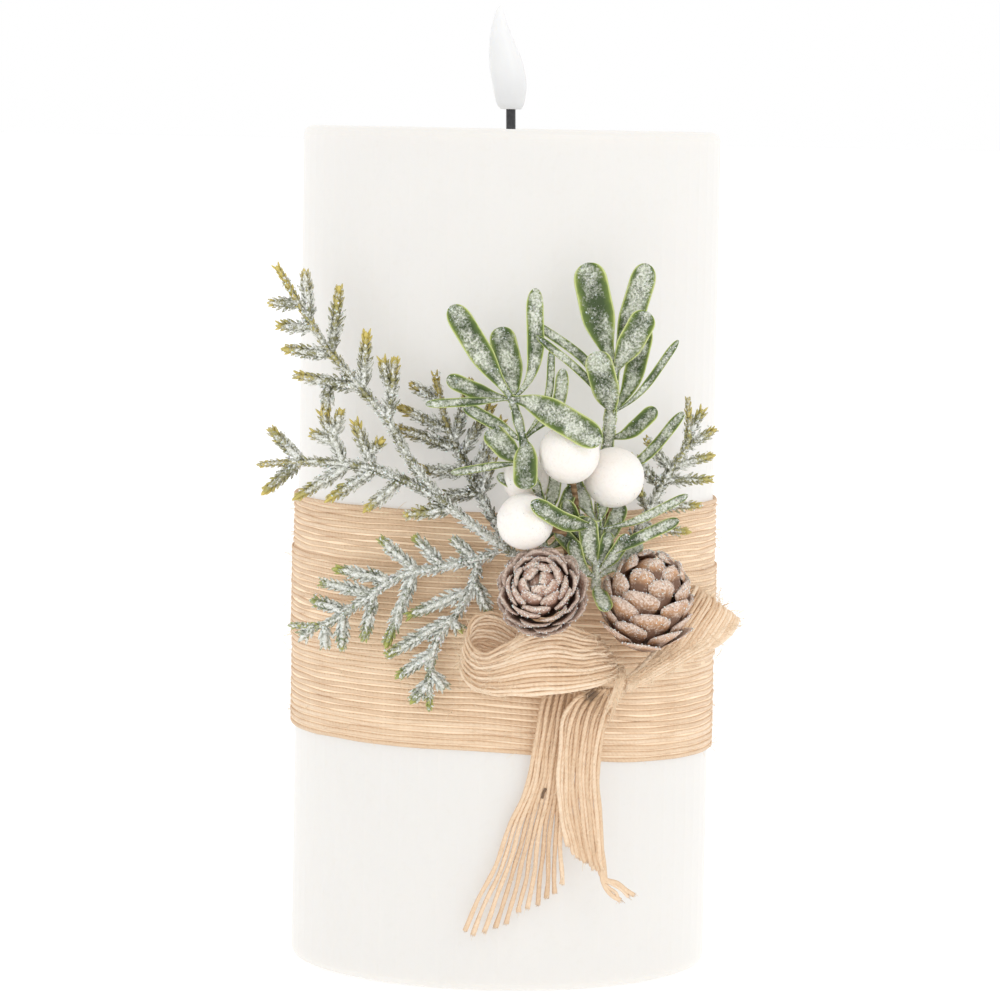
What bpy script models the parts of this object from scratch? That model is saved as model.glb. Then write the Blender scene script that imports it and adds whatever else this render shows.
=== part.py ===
"""A flameless LED pillar candle: a wax shell with a battery base, a flame lamp on
a wick, and a decoration of jute ribbon, frosted greenery, berries and cones.

The candle stands on Z = 0 with its axis on Z, and its decorated side faces -Y.
Sizes below are in millimetres, and place() turns them into metres.
"""
import math

import bmesh
import bpy
from mathutils import Vector

MM = 0.001
GAP = 0.3
OVERSHOOT = 1.0

# Wax pillar
WAX_R = 37.5
WAX_TOP = 150.0
WAX_INNER_R = 33.0
WAX_CEILING = 142.5
WAX_EDGE_TOP = 1.6
WAX_EDGE_FOOT = 1.2
DISH_DEPTH = 1.2
DISH_EDGE_R = 32.5
DISH_EDGE_DROP = 0.3
DISH_FLOOR_R = 25.5
CEILING_BEVEL = 2.0
WICK_HOLE_R = 1.15

# Wick, lamp and flame
WICK_R = 0.85
WICK_BORE_R = 0.55
WICK_LOW = 136.0
WICK_TOP = 155.2
WICK_LEAN = -0.3
FLAME_LOW = 153.5
FLAME_TIP = (-2.6, 172.1)
FLAME_DEPTH = 0.85
# each row: height, left edge, right edge of the flame
FLAME_ROWS = (
    (153.5, -2.2, 1.5), (154.2, -2.8, 1.9), (156.0, -3.4, 2.3), (158.0, -3.8, 2.4),
    (160.0, -4.2, 2.1), (162.0, -4.4, 1.6), (164.0, -4.5, 0.8), (166.0, -4.4, -0.1),
    (168.0, -4.2, -0.9), (170.0, -3.7, -1.6), (171.4, -3.2, -2.1),
)
# each row: height and radius of the lamp's pocket inside the flame
POCKET_ROWS = ((153.5, 1.15), (154.8, 1.15), (155.4, 1.5), (158.4, 1.5), (159.6, 0.8))
LED_R = 0.9
LED_LOW = 155.5
LED_TOP = 157.7
LED_LEAD_R = 0.16
LED_LEAD_X = 0.28
LED_LEAD_LOW = 133.4
LEAD_WIRE_R = 0.55
# points from the board up to the lamp's leads
LEAD_WIRES = {
    "lead_wire_red": ((8.0, 7.0, 20.5), (8.0, 6.4, 23.0), (2.0, 1.4, 25.6), (1.2, 0.0, 30.0),
                      (1.3, 0.4, 48.0), (1.7, 1.4, 76.0), (1.5, 0.6, 106.0), (1.1, 0.0, 133.0)),
    "lead_wire_black": ((-2.0, 7.0, 20.5), (-2.0, 6.4, 23.0), (-2.0, 1.4, 25.6), (-1.2, 0.0, 30.0),
                        (-1.3, 0.4, 48.0), (-1.7, 1.4, 76.0), (-1.5, 0.6, 106.0), (-1.1, 0.0, 133.0)),
}
LED_LEAD_SPREAD = 1.1
HOLDER_R = 9.0
HOLDER_LOW = 138.4
HOLDER_BEVEL = (2.0, 1.5)

# Battery base
HOUSING_R = 32.7
HOUSING_TOP = 27.0
HOUSING_WALL = 1.5
HOUSING_EDGE = 0.6
FLOOR = 2.0
BAY_X = 27.0
BAY_Y = 14.9
BAY_TOP = 17.2
ROOF_TOP = 18.7
SIDE_BAY_Y = 16.4
DOOR_X = 27.4
DOOR_Y = 15.3
DOOR_THICK = 1.6
TONGUE_Y = 8.5
TONGUE_HALF_WIDTH = 2.6
TONGUE_REACH = 2.0
TONGUE_LOW = 1.2
TONGUE_TOP = 2.2
TONGUE_POCKET_REACH = 2.8
TONGUE_POCKET_LOW = 0.9
TONGUE_POCKET_TOP = 5.5
TONGUE_SIDE_GAP = 0.4
LATCH_ROOT_X = 18.0
LATCH_HALF_WIDTH = 5.0
LATCH_SLIT = 0.8
GRIP_COUNT = 5
GRIP_X = 20.2
GRIP_PITCH = 1.2
GRIP_WIDE = 0.5
GRIP_HALF_LENGTH = 3.6
GRIP_DEPTH = 0.35
COVER_R = 32.6
COVER_THICK = 1.6
GROMMET_BORE_R = 3.0
GROMMET_R = 4.4
GROMMET_HEIGHT = 4.0
BOSSES = ((-19.5, 22.0), (19.5, 22.0), (0.0, -27.2))
BOSS_R = 2.8
SCREW_R = 1.0
SCREW_HEAD_R = 2.1
SCREW_LOW = 12.0
SCREW_POINT = 1.5
SCREW_HEAD_RIM = 0.9
SCREW_HEAD_HEIGHT = 1.5
SCREW_HEAD_TOP_R = 1.4
CROSS_REACH = 1.2
CROSS_HALF_WIDTH = 0.25
CROSS_DEPTH = 0.8
PIN_X = 18.0
PIN_Y = -7.5
PIN_R = 0.9

# Batteries and contacts
CELL_Y = 7.6
CELL_Z = 9.6
CELL_R = 7.1
CELL_LENGTH = 48.9
NUB_LENGTH = 1.3
NUB_R = 2.75
CELL_END = 26.0
PLATE_X = 26.3
PLATE_THICK = 0.4
PLATE_LOW = 4.0
PLATE_TOP = 15.5
TAIL_TOP = 21.5
TAIL_HALF_Y = 1.0
PLATE_HALF_Y = 5.5
PLATE_SLOT_X = -25.7
PLATE_SLOT_HALF = 1.5
SPRING_WIRE_R = 0.25
SPRING_TURNS = 2.5
SPRING_START_X = 24.75
SPRING_RADII = (1.8, 4.6)

# Circuit board
BOARD_LOW = 19.0
BOARD_TOP = 20.2
BOARD_X = (-28.2, 22.0)
BOARD_Y = 10.5
BOARD_SLOT_X = (-27.3, -25.7)
BOARD_SLOT_HALF = 1.6
CHIP_AT = (3.0, -3.0)
CHIP_R = 5.2
CHIP_SINK = 3.4
CHIP_HEIGHT = 1.8
CAPACITOR_AT = (-11.0, 4.0)
RESISTOR_AT = (-10.0, -4.5, 1.3)
CRYSTAL_AT = (14.0, 3.0, 1.5)

# Slide switch
SWITCH_Y = 23.0
SWITCH_LOW = 2.3
SWITCH_TOP = 6.9
# half sizes and depth of the recess and of the slot the knob slides in
SWITCH_RECESS = (8.5, 4.0, 1.2)
SWITCH_SLOT = (3.6, 1.5, 3.0)
SWITCH_HALF = (5.6, 2.9)
SWITCH_POCKET_HALF = (4.4, 1.8)
SWITCH_POCKET_TOP = 5.8
SWITCH_LEGS = (-2.5, 0.0, 2.5)
SWITCH_LEG_HALF = (0.4, 0.2)
SWITCH_LEG_TOP = 9.2
# half sizes, then lower and upper height, of the knob's pad, post and slider
KNOB_PARTS = ((1.8, 1.6, 0.35, 0.9), (1.1, 1.0, 0.6, 3.2), (2.0, 1.4, 2.9, 5.2))

# Jute ribbon: three turns, then a bow
WRAP_INNER_R = 37.8
# each row: lower edge, upper edge and outer radius of one turn
WRAP_TURNS = ((41.0, 57.0, 38.7), (57.0, 73.5, 39.0), (73.5, 84.0, 38.5))
BAND_HALF_THICK = 0.5
KNOT = (19.3, -40.6, 54.0)
# each row: x and z from the knot's centre, and the half sizes there
KNOT_ROWS = ((0.5, -3.0, (1.7, 1.5)), (0.3, -2.2, (2.4, 2.1)), (0.0, 0.0, (2.7, 2.4)),
             (-0.3, 2.2, (2.4, 2.1)), (-0.5, 3.0, (1.7, 1.5)))
# each row: a point of the ribbon's centre line and half its width there
LOOP_LEFT = (
    ((15.6, -43.7, 57.6), 3.2), ((9.0, -45.6, 58.9), 5.8), ((3.0, -46.2, 58.4), 5.5),
    ((-3.0, -45.9, 58.6), 5.2), ((-6.3, -44.7, 60.4), 5.0), ((-5.2, -43.3, 62.2), 4.3),
    ((0.0, -42.8, 62.0), 4.0), ((8.0, -42.2, 59.4), 3.8), ((15.2, -41.6, 56.2), 2.6),
)
LOOP_RIGHT = (
    ((22.8, -40.4, 55.2), 2.6), ((28.0, -38.2, 58.8), 3.7), ((34.0, -33.6, 63.8), 4.8),
    ((38.6, -29.2, 65.4), 4.0), ((40.6, -26.6, 65.4), 3.2), ((38.6, -24.6, 65.0), 3.6),
    ((33.4, -28.4, 62.8), 4.2), ((27.6, -33.2, 58.0), 3.4), ((22.8, -36.6, 54.8), 2.4),
)
TAIL_LEFT = (
    ((10.2, -39.2, 53.2), 2.6), ((9.0, -39.5, 46.0), 2.9), ((7.8, -39.6, 36.5), 3.6),
    ((5.6, -39.3, 25.0), 5.8), ((3.0, -39.0, 12.5), 7.8),
)
TAIL_RIGHT = (
    ((17.4, -41.2, 50.2), 2.4), ((14.4, -41.2, 44.8), 2.9), ((13.8, -41.0, 36.5), 3.2),
    ((15.0, -40.8, 28.5), 2.9), ((16.0, -40.6, 22.0), 2.4),
)

# Berries: centre and radius, then the lower points of each wire stem
BERRIES = (
    ((10.7, -50.5, 95.3), 5.15, ((12.6, -41.8, 76.0), (12.4, -43.5, 84.0))),
    ((18.5, -44.5, 90.9), 5.2, ((14.4, -41.8, 75.8), (17.2, -41.8, 80.0))),
    ((3.4, -51.0, 83.6), 4.8, ((10.6, -42.8, 76.0), (10.2, -47.0, 81.4))),
    ((3.6, -43.5, 90.3), 4.2, ((11.2, -40.4, 76.6), (8.6, -40.4, 82.4))),
)
BERRY_STEM_R = 0.5

# Cones: centre, half width, half length and the way the tip points
CONES = {
    "pinecone_left": ((6.2, -50.5, 71.5), 7.2, 7.2, (0.0, -1.0, 0.15)),
    "pinecone_right": ((25.0, -44.0, 69.6), 7.9, 8.9, (0.35, -0.45, 0.8)),
}
CONE_ROWS = 7
CONE_LOBES = 8
CONE_RELIEF = 0.07

# Glue pads: centre and half sizes
GLUE_PADS = {
    "glue_pad_left": ((7.0, -41.0, 71.0), (6.5, 1.4, 4.6)),
    "glue_pad_right": ((26.0, -33.0, 68.5), (4.6, 1.4, 4.0)),
}

# Flat juniper sprays, as (x, z) points. A spray's y is its layer, and it bends
# back around the candle by SPRAY_BEND times x squared.
SPRAY_BEND = 0.010
JUNIPER = {
    "juniper_upper": {
        "layer": -43.3,
        "stems": (
            ((3.5, 76), (-5.5, 82), (-10, 85.5), (-16, 92), (-20.5, 99.5), (-24.5, 104),
             (-30.5, 110.5), (-37.5, 120.5), (-40.5, 125)),
            ((-10, 85.5), (-14.5, 88), (-22.5, 91), (-35.5, 91.5), (-43, 90.5)),
        ),
        "twigs": (
            ((-36.5, 119), (-41, 119)), ((-34.5, 116), (-35.5, 124)), ((-34, 115), (-40, 115)),
            ((-30.5, 111), (-29.5, 121.5)), ((-31, 110.5), (-38.5, 111)),
            ((-25, 104.5), (-24.5, 114)), ((-26, 105), (-36.5, 106.5)), ((-31, 105.5), (-31.5, 101)),
            ((-20.5, 99.5), (-19.5, 109.5)), ((-20.3, 105), (-21.5, 109.5)),
            ((-35.5, 91.5), (-41, 96.5)), ((-36, 91.5), (-42, 86)), ((-28, 91.5), (-32, 100)),
            ((-30, 96), (-29, 100)), ((-29.6, 95.2), (-33.5, 96.5)), ((-23, 91), (-26, 98.5)),
            ((-23.8, 93.5), (-22, 95.5)), ((-27.5, 91.3), (-36, 85.5)), ((-22.5, 91), (-30.5, 85.5)),
            ((-18, 89.4), (-23.5, 84.5)), ((-9, 84.8), (-16.5, 83.5)),
        ),
    },
    "juniper_lower": {
        "layer": -41.4,
        "stems": (
            ((-1, 77.5), (-5, 76), (-11, 74.5), (-19, 72), (-22.5, 69.5), (-27.5, 65.5),
             (-31.5, 63), (-37, 62.5)),
            ((-4.5, 76.2), (-5, 73), (-8, 66.5), (-11, 62.5), (-12.5, 55.5), (-12.5, 50.5)),
        ),
        "twigs": (
            ((-10.5, 74.6), (-15, 79)), ((-5, 76), (-8.5, 79)), ((-15, 73.4), (-21, 78.5)),
            ((-19.5, 71.7), (-28.5, 73)), ((-23, 69.1), (-31.5, 70.5)), ((-27.2, 65.8), (-33, 67)),
            ((-15.5, 73.2), (-20, 61)), ((-22.5, 69.5), (-24, 62)), ((-27.9, 65.1), (-28, 60)),
            ((-31, 63.3), (-31, 59.5)), ((-33, 62.8), (-35, 60.8)),
            ((-5.2, 72.5), (-2.5, 67)), ((-6.2, 70.5), (-16, 66)), ((-8.3, 66), (-19.5, 59)),
            ((-11.4, 60), (-17.5, 55.5)), ((-12.5, 54.8), (-15, 51.5)), ((-12.3, 56.5), (-10, 53.5)),
            ((-8.8, 65.3), (-7.8, 64.2)),
        ),
    },
    "juniper_centre": {
        "layer": -40.7,
        "stems": (((0, 79.5), (-3.5, 85.5), (-7, 92), (-10, 98), (-12.5, 107.5)),),
        "twigs": (
            ((-11.6, 103), (-16, 105.5)), ((-10, 98), (-18, 101.5)), ((-8.5, 95), (-18.5, 98)),
            ((-6.6, 91), (-15, 91)), ((-4.5, 87.5), (-13, 86)), ((-9, 96.2), (-6.5, 106)),
            ((-7.8, 93.8), (-3, 102)), ((-6, 90), (-1, 99.5)), ((-4.2, 87), (-2.5, 93)),
        ),
    },
    "juniper_right": {
        "layer": -39.5,
        "stems": (((20, 75.5), (23.5, 81.5), (27.5, 89.5), (31.5, 96), (31.5, 103)),),
        "twigs": (
            ((31.8, 97.5), (34, 101.5)), ((30.8, 95), (36, 98)), ((29, 92), (35.5, 93.5)),
            ((27.5, 89.5), (35.5, 89.5)), ((25.3, 85), (33.5, 85)), ((23.4, 81.4), (31.5, 80.5)),
            ((28.6, 91.4), (24.5, 96.5)), ((27, 88.6), (21.8, 93.5)), ((25, 84.4), (23, 88)),
        ),
    },
}
SPRAY_STEM_R = 0.85
SPRAY_TWIG_R = 1.0
SPRAY_TIP_R = 0.45

# Mistletoe: a stem, then leaves as root, shoulder, tip and width
MISTLETOE = {
    "mistletoe_left": {
        "stem": ((7.0, -44.6, 77.5), (5.8, -45.6, 83.0), (5.9, -46.8, 87.0), (4.6, -49.2, 91.0),
                 (2.9, -48.6, 97.0), (0.8, -47.6, 104.4)),
        "leaves": (
            ((0.8, -47.6, 104.2), (-0.6, -47.6, 106.0), (-9.9, -47.0, 119.9), 3.6),
            ((1.2, -47.4, 103.2), (0.9, -46.4, 106.0), (-1.5, -45.0, 116.3), 4.4),
            ((0.8, -47.6, 104.2), (2.4, -47.6, 105.8), (4.5, -46.5, 123.1), 2.8),
            ((0.8, -47.6, 104.2), (-2.0, -48.8, 104.0), (-13.9, -50.5, 103.2), 1.6),
            ((0.8, -47.6, 104.2), (-2.5, -46.6, 104.6), (-10.4, -46.0, 107.5), 3.0),
            ((0.8, -47.6, 104.2), (3.4, -51.0, 104.0), (16.1, -57.5, 97.9), 4.8),
            ((2.9, -48.6, 97.4), (8.6, -46.6, 103.6), (9.4, -46.4, 109.5), 2.4),
            ((2.9, -48.6, 97.4), (6.6, -46.4, 103.6), (7.4, -46.2, 113.1), 1.2),
            ((3.0, -48.6, 96.8), (1.6, -48.0, 97.8), (-7.4, -46.6, 102.9), 2.4),
            ((3.0, -48.6, 96.8), (3.2, -50.8, 96.4), (3.4, -52.9, 89.2), 4.0),
            ((3.9, -49.0, 93.6), (1.6, -48.2, 94.6), (-3.2, -46.8, 99.0), 4.0),
            ((3.9, -49.0, 93.4), (0.8, -48.6, 93.2), (-9.4, -49.0, 91.5), 1.4),
        ),
    },
    "mistletoe_right": {
        "stem": ((15.6, -38.5, 75.0), (16.3, -38.0, 83.0), (17.0, -37.8, 90.5),
                 (17.5, -40.5, 97.4), (17.7, -43.0, 101.5), (18.1, -44.2, 110.0)),
        "leaves": (
            ((18.1, -44.2, 109.8), (17.2, -44.4, 112.0), (13.1, -44.0, 127.5), 5.2),
            ((18.1, -44.2, 109.8), (19.2, -43.0, 113.0), (23.5, -42.0, 127.5), 4.1),
            ((18.0, -44.0, 108.6), (19.2, -45.2, 111.0), (23.7, -45.6, 119.4), 4.4),
            ((17.7, -43.0, 101.6), (19.6, -42.6, 104.0), (23.6, -42.0, 117.0), 3.6),
            ((17.7, -43.0, 101.6), (17.4, -46.0, 103.6), (14.9, -47.6, 112.6), 4.8),
            ((17.7, -43.0, 101.6), (20.4, -43.4, 103.4), (29.1, -42.0, 114.5), 1.4),
            ((17.7, -43.0, 101.6), (14.6, -44.4, 109.0), (3.6, -46.0, 117.6), 1.8),
            ((17.7, -43.0, 101.6), (14.2, -45.6, 107.0), (4.7, -48.2, 115.1), 1.4),
            ((17.5, -40.6, 97.4), (19.8, -41.4, 97.9), (25.6, -42.0, 102.7), 2.6),
            ((17.0, -37.8, 90.6), (22.5, -37.8, 93.0), (30.5, -38.0, 101.9), 1.8),
        ),
    },
    "mistletoe_centre": {
        "stem": ((15.8, -44.2, 71.5), (15.9, -45.2, 77.0), (15.6, -46.0, 83.5)),
        "leaves": (
            ((15.9, -45.0, 75.5), (15.0, -46.6, 77.6), (14.0, -48.0, 84.2), 3.4),
            ((15.9, -45.0, 75.0), (16.8, -45.8, 77.0), (17.6, -46.8, 81.7), 2.6),
            ((15.9, -45.0, 74.5), (18.2, -46.4, 77.0), (21.0, -47.0, 81.4), 2.4),
            ((15.9, -45.2, 76.5), (19.4, -46.8, 78.8), (29.8, -44.0, 83.8), 2.2),
            ((15.6, -45.9, 82.0), (20.6, -47.4, 83.2), (31.3, -43.0, 88.0), 1.6),
            ((15.6, -45.9, 82.5), (9.6, -53.6, 84.2), (4.4, -57.0, 87.6), 3.2),
            ((15.8, -44.3, 72.5), (16.4, -47.4, 71.0), (17.8, -50.0, 68.4), 2.6),
        ),
    },
}
LEAF_HALF_THICK = 0.35
LEAF_FULLNESS = (0.35, 0.3, 0.3, 0.35, 0.55, 0.95, 1.0, 0.8, 0.25)
LEAF_STEM_R = 0.8

# Material colours are linear RGB: colour, roughness, metallic
FINISHES = {
    "wax": ((0.90, 0.88, 0.83), 0.55, 0.0),
    "flame_plastic": ((0.90, 0.90, 0.91), 0.35, 0.0),
    "wick_black": ((0.02, 0.02, 0.022), 0.6, 0.0),
    "led": ((0.90, 0.80, 0.45), 0.2, 0.0),
    "wire_red": ((0.60, 0.03, 0.03), 0.45, 0.0),
    "wire_black": ((0.03, 0.03, 0.03), 0.45, 0.0),
    "copper_wire": ((0.72, 0.40, 0.22), 0.3, 1.0),
    "white_plastic": ((0.82, 0.81, 0.78), 0.45, 0.0),
    "black_plastic": ((0.03, 0.03, 0.03), 0.45, 0.0),
    "steel": ((0.62, 0.62, 0.63), 0.3, 1.0),
    "cell_jacket": ((0.10, 0.16, 0.22), 0.35, 0.0),
    "board_green": ((0.03, 0.20, 0.09), 0.5, 0.0),
    "resistor_tan": ((0.62, 0.50, 0.33), 0.5, 0.0),
    "jute": ((0.66, 0.49, 0.32), 0.9, 0.0),
    "foam_berry": ((0.88, 0.86, 0.80), 0.6, 0.0),
    "stem_brown": ((0.20, 0.14, 0.09), 0.8, 0.0),
    "cone_scale": ((0.30, 0.20, 0.15), 0.75, 0.0),
    "leaf_green": ((0.12, 0.22, 0.08), 0.5, 0.0),
    "juniper_green": ((0.32, 0.36, 0.26), 0.7, 0.0),
    "hot_glue": ((0.80, 0.78, 0.70), 0.35, 0.0),
}


def finish(name):
    """Return the named material, making it the first time."""
    found = bpy.data.materials.get(name)
    if found:
        return found
    colour, roughness, metallic = FINISHES[name]
    made = bpy.data.materials.new(name)
    made.use_nodes = True
    shader = made.node_tree.nodes["Principled BSDF"]
    shader.inputs["Base Color"].default_value = (*colour, 1.0)
    shader.inputs["Roughness"].default_value = roughness
    shader.inputs["Metallic"].default_value = metallic
    made.diffuse_color = (*colour, 1.0)
    return made


def place(name, bm, finish_name, origin=(0.0, 0.0, 0.0)):
    """Turn a bmesh in millimetres into an object in metres, with the given origin."""
    bmesh.ops.recalc_face_normals(bm, faces=bm.faces)
    if bm.calc_volume(signed=True) < 0:
        bmesh.ops.reverse_faces(bm, faces=bm.faces)
    bmesh.ops.translate(bm, verts=bm.verts, vec=-Vector(origin))
    bmesh.ops.scale(bm, verts=bm.verts, vec=(MM, MM, MM))
    mesh = bpy.data.meshes.new(name)
    bm.to_mesh(mesh)
    bm.free()
    mesh.shade_smooth()
    mesh.set_sharp_from_angle(angle=math.radians(35))
    made = bpy.data.objects.new(name, mesh)
    made.location = Vector(origin) * MM
    bpy.context.scene.collection.objects.link(made)
    if finish_name:
        mesh.materials.append(finish(finish_name))
    return made


def combine(target, tool_bm, operation):
    """Cut or join a bmesh tool to an object."""
    tool = place(f"{target.name}_{operation.lower()}", tool_bm, None)
    tool.hide_render = True
    tool.display_type = "WIRE"
    modifier = target.modifiers.new(operation.title(), "BOOLEAN")
    modifier.operation = operation
    modifier.object = tool


def fuse(first, others):
    """Join closed bmeshes into one closed body, still in millimetres."""
    loose = []
    for bm in (first, *others):
        bmesh.ops.recalc_face_normals(bm, faces=bm.faces)
        mesh = bpy.data.meshes.new("loose")
        bm.to_mesh(mesh)
        bm.free()
        made = bpy.data.objects.new("loose", mesh)
        bpy.context.scene.collection.objects.link(made)
        loose.append(made)
    for tool in loose[1:]:
        modifier = loose[0].modifiers.new("Union", "BOOLEAN")
        modifier.operation = "UNION"
        modifier.object = tool
    whole = bmesh.new()
    whole.from_object(loose[0], bpy.context.evaluated_depsgraph_get())
    for made in loose:
        bpy.data.objects.remove(made, do_unlink=True)
    return whole


def box(bm, low, high):
    """Add a box between two corners."""
    made = bmesh.ops.create_cube(bm, size=1.0)["verts"]
    low, high = Vector(low), Vector(high)
    bmesh.ops.scale(bm, verts=made, vec=high - low)
    bmesh.ops.translate(bm, verts=made, vec=(low + high) / 2)
    return bm


def prism(bm, outline, low, high):
    """Add an upright prism from an (x, y) outline."""
    face = bm.faces.new([bm.verts.new((x, y, low)) for x, y in outline])
    grown = bmesh.ops.extrude_face_region(bm, geom=[face])["geom"]
    tops = [item for item in grown if isinstance(item, bmesh.types.BMVert)]
    bmesh.ops.translate(bm, verts=tops, vec=(0, 0, high - low))
    return bm


def arc(centre, radius, start, end, steps):
    """Points of an arc in degrees, ends included."""
    turns = [math.radians(start + (end - start) * i / steps) for i in range(steps + 1)]
    return [(centre[0] + radius * math.cos(t), centre[1] + radius * math.sin(t)) for t in turns]


def lathe(profile, steps, ring=True, centre=(0.0, 0.0), axis="Z"):
    """Spin an (r, z) profile; a ring profile closes on itself, others end on the axis."""
    bm = bmesh.new()
    verts = [bm.verts.new((r, 0, z)) for r, z in profile]
    pairs = list(zip(verts, verts[1:]))
    if ring:
        pairs.append((verts[-1], verts[0]))
    edges = [bm.edges.new(pair) for pair in pairs]
    bmesh.ops.spin(bm, geom=verts + edges, cent=(0, 0, 0), axis=(0, 0, 1),
                   angle=2 * math.pi, steps=steps)
    bmesh.ops.remove_doubles(bm, verts=bm.verts, dist=1e-3)
    if axis == "X":
        for vert in bm.verts:
            vert.co = Vector((vert.co.z, vert.co.x, vert.co.y))
    else:
        bmesh.ops.translate(bm, verts=bm.verts, vec=(centre[0], centre[1], 0))
    bmesh.ops.recalc_face_normals(bm, faces=bm.faces)
    return bm


def rod(centre, radius, low, high, steps=20):
    """A plain upright rod."""
    return lathe([(0, low), (radius, low), (radius, high), (0, high)], steps, False, centre)


def slope(before, here, after):
    """The direction of a smooth curve at a point, for unevenly spaced points."""
    near, far = (here - before).length, (after - here).length
    return ((here - before) * (far / near) + (after - here) * (near / far)) / (near + far)


def smooth_path(points, steps):
    """A smooth curve through points; each point may carry extra numbers."""
    rows = [Vector(point) for point in points]
    rows = [rows[0] * 2 - rows[1], *rows, rows[-1] * 2 - rows[-2]]
    path = []
    for a, b, c, d in zip(rows, rows[1:], rows[2:], rows[3:]):
        leave = slope(a, b, c) * (c - b).length
        arrive = slope(b, c, d) * (c - b).length
        for i in range(steps):
            t = i / steps
            path.append(b * (2 * t**3 - 3 * t**2 + 1) + leave * (t**3 - 2 * t**2 + t)
                        + c * (3 * t**2 - 2 * t**3) + arrive * (t**3 - t**2))
    return [*path, rows[-2]]


def sweep(bm, points, halves, facing=(0.0, -1.0, 0.0), sides=6):
    """Sweep an ellipse along points; halves are its half width and half thickness."""
    rings = []
    for i, point in enumerate(points):
        along = points[min(i + 1, len(points) - 1)] - points[max(i - 1, 0)]
        out = Vector(facing) - along * (Vector(facing).dot(along) / along.length_squared)
        out.normalize()
        across = along.normalized().cross(out)
        wide, thick = halves[i]
        ring = []
        for side in range(sides):
            turn = 2 * math.pi * side / sides
            offset = across * (wide * math.cos(turn)) + out * (thick * math.sin(turn))
            ring.append(bm.verts.new(point + offset))
        rings.append(ring)
    for low, high in zip(rings, rings[1:]):
        for side in range(sides):
            after = (side + 1) % sides
            bm.faces.new((low[side], low[after], high[after], high[side]))
    bm.faces.new(rings[0][::-1])
    bm.faces.new(rings[-1])
    return bm


def tube(points, radius, steps=3, sides=8, facing=(0.0, -1.0, 0.0)):
    """A round tube of even radius along a smooth path."""
    path = smooth_path(points, steps)
    return sweep(bmesh.new(), path, [(radius, radius)] * len(path), facing, sides)


def lean(z):
    """Sideways lean of the wick at a height."""
    return WICK_LEAN * max(0.0, z - WICK_LOW) / (WAX_TOP - WICK_LOW)


def make_wax_shell():
    foot = arc((WAX_R - WAX_EDGE_FOOT, WAX_EDGE_FOOT), WAX_EDGE_FOOT, -90, 0, 2)
    rim = arc((WAX_R - WAX_EDGE_TOP, WAX_TOP - WAX_EDGE_TOP), WAX_EDGE_TOP, 0, 90, 3)
    dish_floor = WAX_TOP - DISH_DEPTH
    dish = [(DISH_EDGE_R, WAX_TOP - DISH_EDGE_DROP), (DISH_FLOOR_R, dish_floor)]
    inside = [(WICK_HOLE_R, dish_floor), (WICK_HOLE_R, WAX_CEILING),
              (WAX_INNER_R - CEILING_BEVEL, WAX_CEILING), (WAX_INNER_R, WAX_CEILING - CEILING_BEVEL),
              (WAX_INNER_R, 0)]
    place("wax_shell", lathe(foot + rim + dish + inside, 64), "wax")


def make_flame():
    bm = bmesh.new()
    sides = 16

    def ring(z, centre_x, half_x, half_y):
        turns = [2 * math.pi * i / sides for i in range(sides)]
        return [bm.verts.new((centre_x + half_x * math.cos(t), half_y * math.sin(t), z))
                for t in turns]

    def bridge(first, second):
        for i in range(sides):
            after = (i + 1) % sides
            bm.faces.new((first[i], first[after], second[after], second[i]))

    outer = []
    for z, left, right in FLAME_ROWS:
        half = (right - left) / 2
        outer.append(ring(z, (left + right) / 2, half, half * FLAME_DEPTH))
    inner = [ring(z, WICK_LEAN, radius, radius) for z, radius in POCKET_ROWS]
    for rows in (outer, inner):
        for first, second in zip(rows, rows[1:]):
            bridge(first, second)
    bridge(outer[0], inner[0])
    tip = bm.verts.new((FLAME_TIP[0], 0, FLAME_TIP[1]))
    for i in range(sides):
        bm.faces.new((outer[-1][i], outer[-1][(i + 1) % sides], tip))
    bm.faces.new(inner[-1])
    place("flame_bulb", bm, "flame_plastic")


def make_wick():
    sleeve = lathe([(WICK_BORE_R, WICK_LOW), (WICK_R, WICK_LOW),
                    (WICK_R, WICK_TOP), (WICK_BORE_R, WICK_TOP)], 16)
    for vert in sleeve.verts:
        vert.co.x += lean(vert.co.z)
    place("wick_sleeve", sleeve, "wick_black")
    bevel_in, bevel_up = HOLDER_BEVEL
    holder = lathe([(WICK_HOLE_R, HOLDER_LOW), (HOLDER_R - bevel_in, HOLDER_LOW),
                    (HOLDER_R, HOLDER_LOW + bevel_up), (HOLDER_R, WAX_CEILING - GAP),
                    (WICK_HOLE_R, WAX_CEILING - GAP)], 32)
    place("wick_holder", holder, "white_plastic")
    led = lathe([(0, LED_LOW), (LED_R, LED_LOW), (LED_R, LED_TOP - 0.7),
                 (LED_R * 0.7, LED_TOP - 0.2), (0, LED_TOP)], 12, False, (WICK_LEAN, 0))
    place("led_chip", led, "led")
    for name, way in (("led_lead_positive", 1), ("led_lead_negative", -1)):
        heights = (WICK_LOW - 0.6, WICK_LOW + 1, 146.0, WAX_TOP, WICK_TOP - 0.2)
        points = [(way * LED_LEAD_SPREAD, 0, LED_LEAD_LOW)]
        points += [(way * LED_LEAD_X + lean(z), 0, z) for z in heights]
        place(name, tube(points, LED_LEAD_R, 2, 6), "copper_wire")


def make_lead_wires():
    for name, points in LEAD_WIRES.items():
        place(name, tube(points, LEAD_WIRE_R, 2, 6), name.replace("lead_", ""))


def side_bay(way):
    """The outline of one side bay, between the battery bay and the round wall."""
    inner = HOUSING_R - HOUSING_WALL - 0.2
    start = math.degrees(math.asin(SIDE_BAY_Y / inner))
    return [(x, y * way) for x, y in arc((0, 0), inner, start, 180 - start, 14)]


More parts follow.
